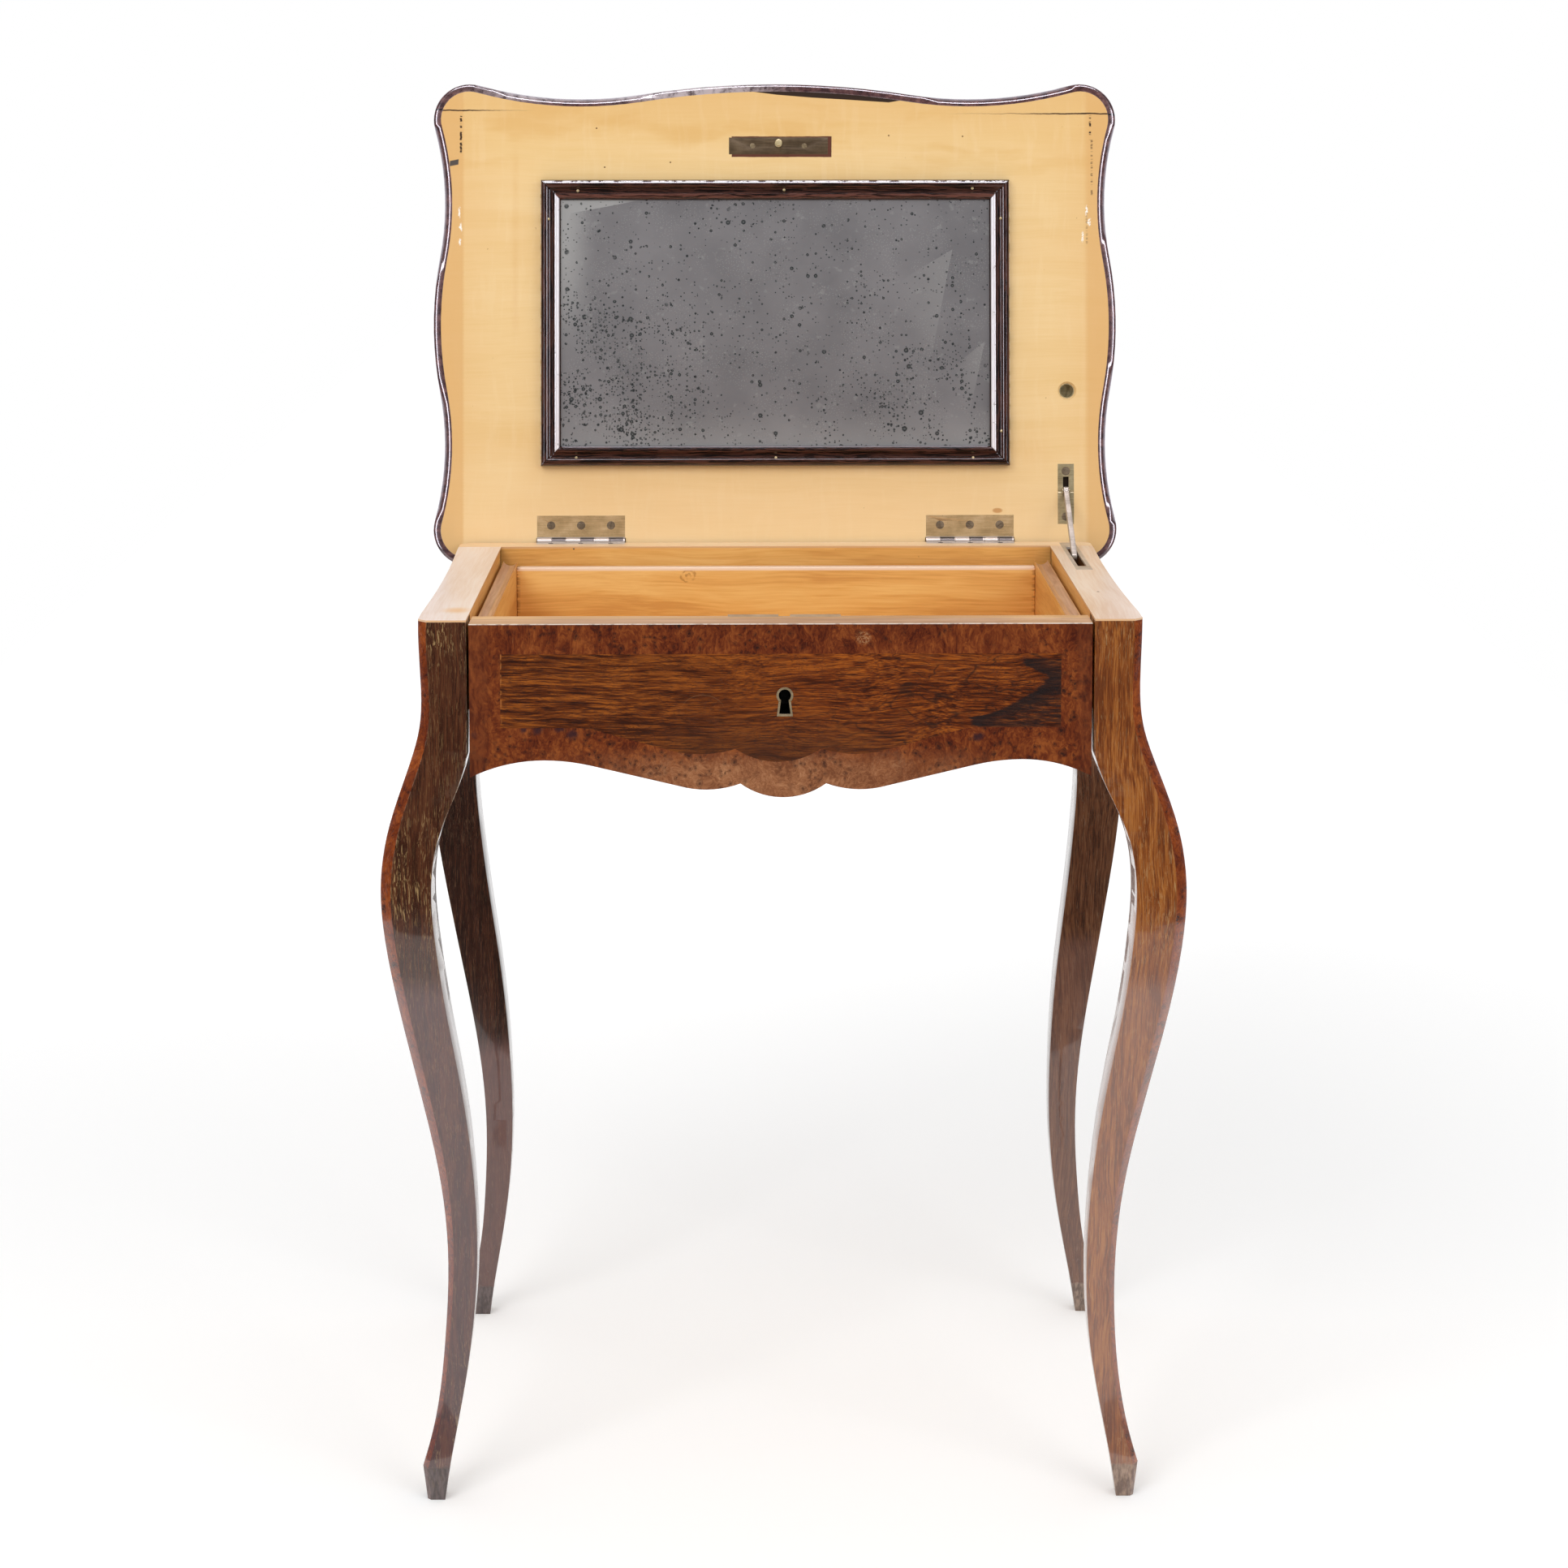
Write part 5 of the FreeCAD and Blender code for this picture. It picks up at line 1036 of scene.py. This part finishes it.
def frame_finish(name, along):
    """Ebonised wood with its streaks along the rail, a brown inner crest, and painted white highlights
    along its edges.
    """
    paint = Paint(name, rough=0.18, shine=0.35, coat=0.45, coat_rough=0.06)
    place = paint.lid_place()
    x, y, z = paint.split(place)
    streaks = fibres(paint, paint.drift(place, 30.0, 0.003), along, 700.0, 0.04, 3.0)
    crest = paint.rise(z, 0.004, 0.009) * paint.rise(streaks, 0.40, 0.60)
    colour = paint.mix(crest * 0.7, (0.009, 0.004, 0.003), (0.095, 0.034, 0.022))
    rubbing_and_highlight = paint.noise(paint.scaled(place, 110.0, 110.0, 1.0), 1.0, 4.0, 0.7)
    if along == "y":
        # Painted highlight lines on the uprights' inner slope and outer edge, broken by noise.
        inner_highlight = paint.between(abs(x), *SIDE_HIGHLIGHT, 0.0003) * paint.rise(rubbing_and_highlight, 0.28, 0.40)
        outer = paint.rise(abs(x), 0.2072, 0.2077) * paint.rise(rubbing_and_highlight, 0.42, 0.52)
        shine = inner_highlight.most(outer * 0.7)
    else:
        # A painted highlight line along the cross rails, broken by noise.
        shine = paint.between(y, *TOP_HIGHLIGHT, 0.0003) * paint.rise(rubbing_and_highlight, 0.42, 0.52)
        inner = paint.between(y, *TOP_CREST, 0.0008)
        colour = paint.mix(inner * paint.rise(streaks, 0.35, 0.6), colour, (0.135, 0.052, 0.038))
    # The painted highlights, mixed in near white.
    colour = paint.mix(shine * 0.9, colour, HIGHLIGHT_WHITE)
    return paint.done(colour)


moulding = moulding_finish()
ebonised_across = frame_finish("ebonised_across", "x")
ebonised_upright = frame_finish("ebonised_upright", "y")
print("mouldings ready")

# %% [markdown]
# ## The looking glass
#
# The silver behind the old glass went grey and is eaten by dark spots, most of them low on the left.
# Cells of four sizes give the spots; a cell's random colour decides whether it holds one, and a map
# over the glass lets more of them pass where the damp came in.

# %% Finish the glass
# Painted reflections on the glass: a pale sheen at the left and below, a wedge and two glares.
LEFT_SHEEN_COLUMNS = (740, 690)
WEDGE_REFLECTION = ((706, 263), (753, 254))
WEDGE_REFLECTION_END = 800
SPOT_SIZES = ((420.0, 0.34), (250.0, 0.30), (140.0, 0.25), (70.0, 0.17))
DAMP_LEFT = (735, 480)
DAMP_RIGHT = (1150, 520)
GLARES = (((1173, 308), (1141, 472), 0.60, (0.055, 0.165, 1.0)),
          ((1213, 421), (1192, 520), 0.80, (0.030, 0.100, 1.0)))


def glass_grey(paint, place):
    """The grey of the silver, with a painted pale sheen at the left and below, a painted straight-edged
    wedge of reflection and two painted glares.
    """
    x, y, _ = paint.split(place)
    colour = paint.ramp(
        paint.noise(place, 14.0, 4.0), (0.35, (0.232, 0.226, 0.238)), (0.65, (0.300, 0.291, 0.303)))
    # A painted pale sheen at the left and along the bottom.
    left = paint.rise(x, *(on_lid(column, JOINT_ROW).x for column in LEFT_SHEEN_COLUMNS))
    left = left * paint.rise(y, 0.14, 0.27) * 0.9
    low = paint.rise(y, 0.125, 0.075) * 0.45
    # A painted straight-edged reflection in the upper left corner.
    corner, tip = (on_lid(*pixel) for pixel in WEDGE_REFLECTION)
    slope = (tip.y - corner.y) / (tip.x - corner.x)
    wedge_reflection = paint.rise(y - (x - corner.x) * slope, corner.y - 0.0003, corner.y + 0.0003)
    wedge_reflection = wedge_reflection.most(paint.rise(x + (corner.y - y) * 0.42, corner.x + 0.001, corner.x - 0.002))
    wedge_reflection = wedge_reflection * paint.rise(x, on_lid(WEDGE_REFLECTION_END, JOINT_ROW).x, tip.x)
    left = left.most(wedge_reflection * paint.rise(y, 0.17, 0.24) * 0.85)
    colour = paint.mix((left + low).least(1.0), colour, (0.52, 0.52, 0.515))
    # Painted reflections: two narrow pale glares at the right.
    for tip, foot, slope, reach in GLARES:
        tip, foot = on_lid(*tip), on_lid(*foot)
        slant = (tip.x - foot.x) / (tip.y - foot.y)
        glare = paint.rise(x - (y - foot.y) * slant, foot.x + 0.0003, foot.x - 0.0003)
        glare = glare * paint.rise(y - (x - tip.x) * slope, tip.y + 0.0006, tip.y)
        glare = glare * paint.near(place, tip, reach, 0.9)
        colour = paint.mix(glare * 0.55, colour, (0.40, 0.395, 0.395))
    cloud = paint.rise(paint.noise(place, 130.0, 3.0), 0.62, 0.70)
    return paint.mix(cloud * 0.28, colour, (0.45, 0.46, 0.45))


def glass_spots(paint, place, colour):
    """Dark spots of four sizes, some with a grey middle, and a dust of pale points."""
    damp = paint.near(place, on_lid(*DAMP_LEFT), (0.14, 0.12, 1.0), 0.95) * 0.75
    second = paint.near(place, on_lid(*DAMP_RIGHT), (0.12, 0.11, 1.0), 0.90) * 0.42
    crowd = (damp.most(second) + 0.11) * (paint.noise(place, 34.0, 3.0) * 3.6 - 1.35)
    bent = paint.drift(place, 600.0, 0.0003)
    for scale, size in SPOT_SIZES:
        away = paint.cells(bent, scale)
        pick, chance, _ = paint.split(paint.cells(bent, scale, "Color"))
        chosen = paint.rise(pick - crowd, 0.04, 0.0)
        radius = chance * (size * 0.6) + size * 0.4
        spot = paint.rise(away - radius, 0.03, -0.05)
        core = paint.rise(away - radius * 0.45, 0.02, -0.03) * paint.rise(chance, 0.55, 0.62)
        colour = paint.mix(spot * chosen * 0.9, colour, (0.030, 0.036, 0.038))
        colour = paint.mix(core * chosen * 0.6, colour, (0.20, 0.21, 0.21))
    dust = paint.rise(paint.cells(place, 420.0), 0.20, 0.08)
    dust = dust * paint.rise(paint.noise(place, 40.0), 0.46, 0.58)
    return paint.mix(dust * 0.40, colour, (0.56, 0.56, 0.54))


def glass_finish():
    paint = Paint("foxed_silver", rough=0.16, shine=0.5, metal=0.3)
    place = paint.lid_place()
    return paint.done(glass_spots(paint, place, glass_grey(paint, place)))


looking_glass = glass_finish()
print("glass ready")

# %% [markdown]
# ## Brass and steel
#
# The fittings were cast and filed by hand. Brass has gone olive and brown, its edges are rubbed
# brighter, and the steel is grey with dark specks.

# %% Mix the metals
SHADED_KNUCKLE_GAPS = ((680, 697), (715, 732), (750, 768), (1158, 1176), (1194, 1211), (1229, 1247))
KNUCKLE_ROW = 664
KNUCKLE_TOP = 0.0042
GAP_SHADE_REACH = (0.0006, 0.0038)
SILVER = (0.62, 0.54, 0.48)

# Each metal's dark, middle and light tone and its roughness
METALS = {
    "hinge_brass": ((0.46, 0.32, 0.155), (0.60, 0.43, 0.22), (0.74, 0.56, 0.32), 0.34),
    "hinge_steel": ((0.36, 0.31, 0.27), (0.50, 0.44, 0.39), (0.64, 0.57, 0.51), 0.34),
    "pale_brass": ((0.50, 0.40, 0.21), (0.70, 0.57, 0.32), (0.85, 0.72, 0.44), 0.30),
    "lock_brass": ((0.42, 0.28, 0.165), (0.54, 0.38, 0.23), (0.66, 0.49, 0.32), 0.40),
    "plate_brass": ((0.28, 0.23, 0.125), (0.43, 0.355, 0.205), (0.57, 0.485, 0.29), 0.34),
    "key_brass": ((0.20, 0.14, 0.075), (0.33, 0.25, 0.145), (0.46, 0.36, 0.23), 0.38),
    "dull_bronze": ((0.092, 0.058, 0.030), (0.130, 0.086, 0.045), (0.19, 0.13, 0.07), 0.42),
    "worn_steel": ((0.40, 0.34, 0.29), (0.56, 0.49, 0.42), (0.72, 0.65, 0.56), 0.32),
    "pale_steel": ((0.34, 0.29, 0.25), (0.48, 0.42, 0.36), (0.62, 0.55, 0.48), 0.32),
    "dark_steel": ((0.050, 0.044, 0.040), (0.120, 0.105, 0.092), (0.22, 0.19, 0.16), 0.45),
    "screw_metal": ((0.11, 0.085, 0.055), (0.215, 0.165, 0.11), (0.36, 0.29, 0.20), 0.36)}


def knuckled(paint, place, colour):
    """Bright knuckles below the hinge's leaf, with painted shade in the gaps above those of the other
    leaf.
    """
    x, y, _ = paint.split(place)
    colour = paint.mix(paint.rise(y, KNUCKLE_TOP + 0.0003, KNUCKLE_TOP - 0.0003), colour, SILVER)
    # Painted shade in the gaps between the knuckles.
    for columns in SHADED_KNUCKLE_GAPS:
        dash = paint.between(x, *(on_lid(column, KNUCKLE_ROW).x for column in columns), 0.0003)
        dash = dash * paint.between(y, *GAP_SHADE_REACH, 0.0003)
        colour = paint.mix(dash * 0.85, colour, (0.05, 0.042, 0.045))
    return colour


def metal_finish(name, dark, middle, light, rough):
    """Metal with a cloudy tarnish, brushed lines, fine specks and brighter edges."""
    paint = Paint(name, rough=rough, metal=0.35)
    place = paint.lid_place()
    brushed = fibres(paint, place, "x", 1400.0, 0.04)
    cloud = paint.noise(place, 70.0, 4.0, 0.6) * 0.55 + brushed * 0.45
    colour = paint.ramp(cloud, (0.36, dark), (0.50, middle), (0.66, light))
    specks = paint.rise(paint.noise(place, 900.0, 2.0), 0.64, 0.70)
    colour = paint.mix(specks * 0.35, colour, tuple(value * 0.3 for value in dark))
    if name.startswith("hinge"):
        colour = knuckled(paint, place, colour)
    rubbing_and_highlight = tuple(value * 1.5 for value in light)
    colour = paint.mix(paint.edges(0.0005, 1.5) * 0.35, colour, rubbing_and_highlight)
    paint.relief(cloud, 0.00006, 0.6)
    return paint.done(colour, paint.rise(cloud, 0.35, 0.65) * 0.16 + rough)


metal = {name: metal_finish(name, *tones) for name, tones in METALS.items()}
print("metals ready")

# %% [markdown]
# ## Refined copies
#
# The construction's curved pieces arrive as flat facets. Each gets a copy whose triangles are joined,
# whose sharp edges are rounded by a fraction of a millimetre, as hand work is, and whose curved faces
# are shaded smoothly. The copy then stands for the piece.

# %% Make refined copies


def only(thing):
    """Selects one object and makes it the active one."""
    bpy.ops.object.select_all(action="DESELECT")
    thing.select_set(True)
    bpy.context.view_layer.objects.active = thing


def belongs(thing, node, material):
    """Lets a new piece stand for a node, move with its body and take its finish."""
    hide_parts(node)
    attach(thing, body_of[node])
    thing.data.materials.clear()
    thing.data.materials.append(material)


def joined_copy(node, name):
    """A copy of a node whose triangles share their points."""
    copy = bpy.data.objects.new(name, bpy.data.objects[node].data.copy())
    bpy.context.scene.collection.objects.link(copy)
    only(copy)
    bpy.ops.object.mode_set(mode="EDIT")
    bpy.ops.mesh.select_all(action="SELECT")
    bpy.ops.mesh.remove_doubles(threshold=0.00002)
    bpy.ops.object.mode_set(mode="OBJECT")
    return copy


def refined(node, material, bevel=0.0, segments=2, angle=35.0):
    copy = joined_copy(node, node + "_refined")
    bpy.ops.object.mode_set(mode="EDIT")
    bpy.ops.mesh.select_all(action="SELECT")
    bpy.ops.mesh.dissolve_limited(angle_limit=math.radians(0.5))
    bpy.ops.mesh.normals_make_consistent(inside=False)
    bpy.ops.object.mode_set(mode="OBJECT")
    if bevel:
        rounding = copy.modifiers.new("rounding", "BEVEL")
        rounding.width = bevel
        rounding.segments = segments
        rounding.limit_method = "ANGLE"
        rounding.angle_limit = math.radians(angle)
        bpy.ops.object.modifier_apply(modifier="rounding")
    bpy.ops.object.shade_smooth_by_angle(angle=math.radians(angle))
    belongs(copy, node, material)


for node, material in (("leg_front_left", left_leg), ("leg_front_right", right_leg),
                       ("leg_rear_left", rear_leg_left), ("leg_rear_right", rear_leg_right)):
    refined(node, material, 0.0006)
refined("lid_edge_moulding", moulding, angle=45.0)
for side, wood in (("bottom", ebonised_across), ("top", ebonised_across),
                   ("left", ebonised_upright), ("right", ebonised_upright)):
    refined("mirror_moulding_" + side, wood, 0.0008, 3, 12.0)
for side in ("left", "right"):
    refined("hinge_lid_leaf_" + side, metal["hinge_brass"])
    refined("hinge_case_leaf_" + side, metal["hinge_steel"])
    refined("hinge_pin_" + side, metal["dark_steel"])
    refined("drawer_side_" + side, drawer_walls, 0.0006)
refined("drawer_back", drawer_back, 0.0012, 3)
refined("stay_arm", metal["pale_steel"], 0.0004)
refined("stay_pin", metal["pale_steel"], 0.0002)
refined("stay_lid_plate", metal["plate_brass"], 0.0003)
refined("stay_slot_plate", metal["worn_steel"], 0.0002)
refined("socket_cup", metal["plate_brass"])
refined("strike_plate", metal["dull_bronze"], 0.0003)
refined("strike_stud", metal["pale_brass"], 0.0006, 3)
refined("escutcheon", metal["key_brass"], 0.0003)

# %% [markdown]
# ## Slotted screws
#
# One countersunk screw head is modelled: a low disc with a softened rim, and a slot cut across it. It
# is copied to every screw of the construction, each turned its own way, as a hand-driven screw is.

# %% Model one screw head
HEAD_SIDES = 32
HEAD_DEPTH = 0.6
HEAD_HEIGHT = 0.0012
SLOT_SIZE = (3.0, 0.22, 0.5)


def screw_head():
    """A head of radius 1 in the XY plane, with its face at Z 0 and a slot along X."""
    bpy.ops.object.select_all(action="DESELECT")
    bpy.ops.mesh.primitive_cylinder_add(
        vertices=HEAD_SIDES, radius=1.0, depth=HEAD_DEPTH, location=(0, 0, -HEAD_DEPTH / 2))
    head = bpy.context.object
    bpy.ops.mesh.primitive_cube_add(size=1.0, location=(0, 0, 0), scale=SLOT_SIZE)
    slot = bpy.context.object
    only(head)
    rounding = head.modifiers.new("rim", "BEVEL")
    rounding.width = 0.10
    rounding.segments = 2
    cut = head.modifiers.new("slot", "BOOLEAN")
    cut.object = slot
    for name in ("rim", "slot"):
        bpy.ops.object.modifier_apply(modifier=name)
    bpy.data.objects.remove(slot)
    bpy.ops.object.transform_apply(location=True, rotation=True, scale=True)
    bpy.ops.object.shade_smooth_by_angle(angle=math.radians(35))
    return head


pattern_head = screw_head()
print("one head:", len(pattern_head.data.polygons), "faces")

# %% [markdown]
# Every group of screws in the construction is taken apart into its loose pieces to learn where each
# screw sits and how wide its head is.

# %% Set the screws


def loose_boxes(node, turned):
    """The boxes of a node's loose pieces, in a turned frame."""
    joined_copy(node, "loose")
    bpy.ops.mesh.separate(type="LOOSE")
    boxes = []
    for part in list(bpy.context.selected_objects):
        points = [turned.inverted() @ vertex.co for vertex in part.data.vertices]
        low = Vector([min(point[axis] for point in points) for axis in range(3)])
        high = Vector([max(point[axis] for point in points) for axis in range(3)])
        boxes.append((low, high))
        bpy.data.objects.remove(part)
    return sorted(boxes, key=lambda box: (round(box[0].x, 4), round(box[0].y, 4)))


def planted(pattern, where):
    """A copy of a pattern with its own mesh, set in place by a matrix."""
    copy = pattern.copy()
    copy.data = pattern.data.copy()
    copy.data.transform(where)
    bpy.context.scene.collection.objects.link(copy)
    return copy


def joined(things, name):
    only(things[0])
    for thing in things:
        thing.select_set(True)
    bpy.ops.object.join()
    things[0].name = name
    return things[0]


def set_screws(node, turned, material, turns):
    """Copies the head onto each screw of a node, its face a hair above the plate."""
    heads = []
    for index, (low, high) in enumerate(loose_boxes(node, turned)):
        radius = (high.x - low.x) / 2
        middle = Vector(((low.x + high.x) / 2, (low.y + high.y) / 2, high.z + 0.0001))
        turn = Matrix.Rotation(math.radians(turns[index % len(turns)]), 4, "Z")
        flat = Matrix.Diagonal((radius, radius, HEAD_HEIGHT / HEAD_DEPTH, 1.0))
        heads.append(planted(pattern_head, turned @ Matrix.Translation(middle) @ turn @ flat))
    belongs(joined(heads, node + "_slotted"), node, material)


set_screws("hinge_lid_screws", lid_frame, metal["screw_metal"], (100, 75, 80, 95, 140, 35))
set_screws("hinge_case_screws", Matrix.Identity(4), metal["dark_steel"], (20, 95, 60, 110, 45, 80))
set_screws("stay_lid_screws", lid_frame, metal["screw_metal"], (60, 140))
set_screws("strike_screws", lid_frame, metal["key_brass"], (30, 120))
bpy.data.objects.remove(pattern_head)
print("screws set")

# %% [markdown]
# ## Pins of the mirror's frame
#
# Small brass pins hold the frame's mitres and rails. Each is a little dome, half sunk in the wood. The
# photograph shows where: a ray through the pin's pixel meets the moulding at its seat.

# %% Drive the pins
PIN_PIXELS = ((712, 235), (966, 234), (1198, 232), (676, 270), (1233, 269), (710, 564), (956, 564),
              (1199, 564), (1234, 531))
PIN_RADIUS = 0.0013


def pin():
    """A dome of radius 1, cut off below its widest circle."""
    bpy.ops.object.select_all(action="DESELECT")
    bpy.ops.mesh.primitive_uv_sphere_add(segments=16, ring_count=8, radius=1.0, location=(0, 0, 0))
    dome = bpy.context.object
    bpy.ops.object.mode_set(mode="EDIT")
    bpy.ops.mesh.select_all(action="SELECT")
    bpy.ops.mesh.bisect(plane_co=(0, 0, -0.4), plane_no=(0, 0, 1), clear_inner=True, use_fill=True)
    bpy.ops.object.mode_set(mode="OBJECT")
    bpy.ops.object.shade_smooth_by_angle(angle=math.radians(50))
    return dome


def seat_of(column, row):
    """The first place on the frame's rails that a pixel's ray meets."""
    seats = []
    for side in ("bottom", "right", "top", "left"):
        rail = bpy.data.objects["mirror_moulding_" + side + "_refined"]
        found, place, _, _ = rail.ray_cast(CAMERA_PLACE, ray_of(column, row))
        if found:
            seats.append(place)
    return min(seats, key=lambda place: (place - CAMERA_PLACE).length)


pattern_pin = pin()
grow = lid_frame.to_3x3().to_4x4() @ Matrix.Diagonal((PIN_RADIUS, PIN_RADIUS, PIN_RADIUS, 1.0))
pins = [planted(pattern_pin, Matrix.Translation(seat_of(*pixel)) @ grow) for pixel in PIN_PIXELS]
pins = joined(pins, "mirror_frame_pins")
pins.data.materials.append(metal["pale_brass"])
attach(pins, "lid")
bpy.data.objects.remove(pattern_pin)
print("pins:", len(PIN_PIXELS))

# %% [markdown]
# ## Give every other piece of the construction its finish
#
# A piece that is right as it stands keeps its own mesh, and only its material changes.

# %% Hand out the finishes


def finish(material, *nodes):
    for node in nodes:
        thing = bpy.data.objects[node]
        thing.data.materials.clear()
        thing.data.materials.append(material)


finish(side_rosewood, "side_apron_left", "side_apron_right")
finish(back_rosewood, "back_apron")
finish(golden_rails, "side_top_rail_left", "side_top_rail_right")
finish(drawer_core, "drawer_front_core")
finish(golden_floor, "drawer_bottom")
finish(bare_beech, "drawer_runner_left", "drawer_runner_right", "drawer_stops", "mirror_backing")
finish(cap_left, "rail_cap_left")
finish(cap_right, "rail_cap_right")
finish(cap_rear, "rail_cap_rear")
finish(drawer_burr, "drawer_front_band")
finish(drawer_field, "drawer_front_field")
finish(lid_top_burr, "lid_top_band")
finish(lid_top_rosewood, "lid_top_field")
finish(lid_under, "lid_panel", "lid_clamp_left", "lid_clamp_right")
finish(looking_glass, "mirror_glass")
finish(metal["dark_steel"], "lock_case", "lock_bolt")
finish(metal["lock_brass"], "lock_top_plate")

# %% [markdown]
# ## Flags on the side strips
#
# The two side strips would turn every flat polished face white from some direction. Flags keep them
# off the flats: only the round mouldings of the lid and of the mirror's frame receive them.

# %% Flag the side strips
moulded = bpy.data.collections.new("moulded")
for thing in bpy.data.objects:
    if thing.name.startswith(("lid_edge_moulding", "mirror_moulding")):
        moulded.objects.link(thing)
for name in ("left_strip", "right_strip"):
    bpy.data.objects[name].light_linking.receiver_collection = moulded

# %% [markdown]
# ## The floor
#
# A white sheet lies under the feet and runs away behind the table. It ends in front of the feet and at
# both sides, where the studio's sheet ended: the lower legs mirror it and turn hazy, and what stands
# higher mirrors the dark room. For the camera it glows just enough to melt into the white behind it.

# %% Lay the floor
FLOOR_FRONT = -1.15
FLOOR_BACK = 14.0
FLOOR_HALF = 1.4
GLOW_NEAR = 0.14
GLOW_FAR = 0.34
bpy.ops.object.select_all(action="DESELECT")
bpy.ops.mesh.primitive_plane_add(size=1.0, location=(0.0, 0.0, 0.0))
floor = bpy.context.object
floor.name = "floor"
floor.data.transform(Matrix.Translation((0.0, (FLOOR_FRONT + FLOOR_BACK) / 2, 0.0))
                     @ Matrix.Diagonal((2 * FLOOR_HALF, FLOOR_BACK - FLOOR_FRONT, 1.0, 1.0)))
sheet = Paint("white_floor", rough=0.9, shine=0.1)
seen = sheet.node("ShaderNodeLightPath", output="Is Camera Ray").most(
    sheet.node("ShaderNodeLightPath", output="Is Glossy Ray"))
glow = sheet.rise(sheet.split(sheet.place)[1], 0.2, 2.2) * (GLOW_FAR - GLOW_NEAR) + GLOW_NEAR
sheet.feed(sheet.shader.inputs["Emission Color"], sheet.mix(glow * seen, (0, 0, 0), (1, 1, 1)))
sheet.shader.inputs["Emission Strength"].default_value = 1.0
floor.data.materials.append(sheet.done((0.95, 0.95, 0.95)))
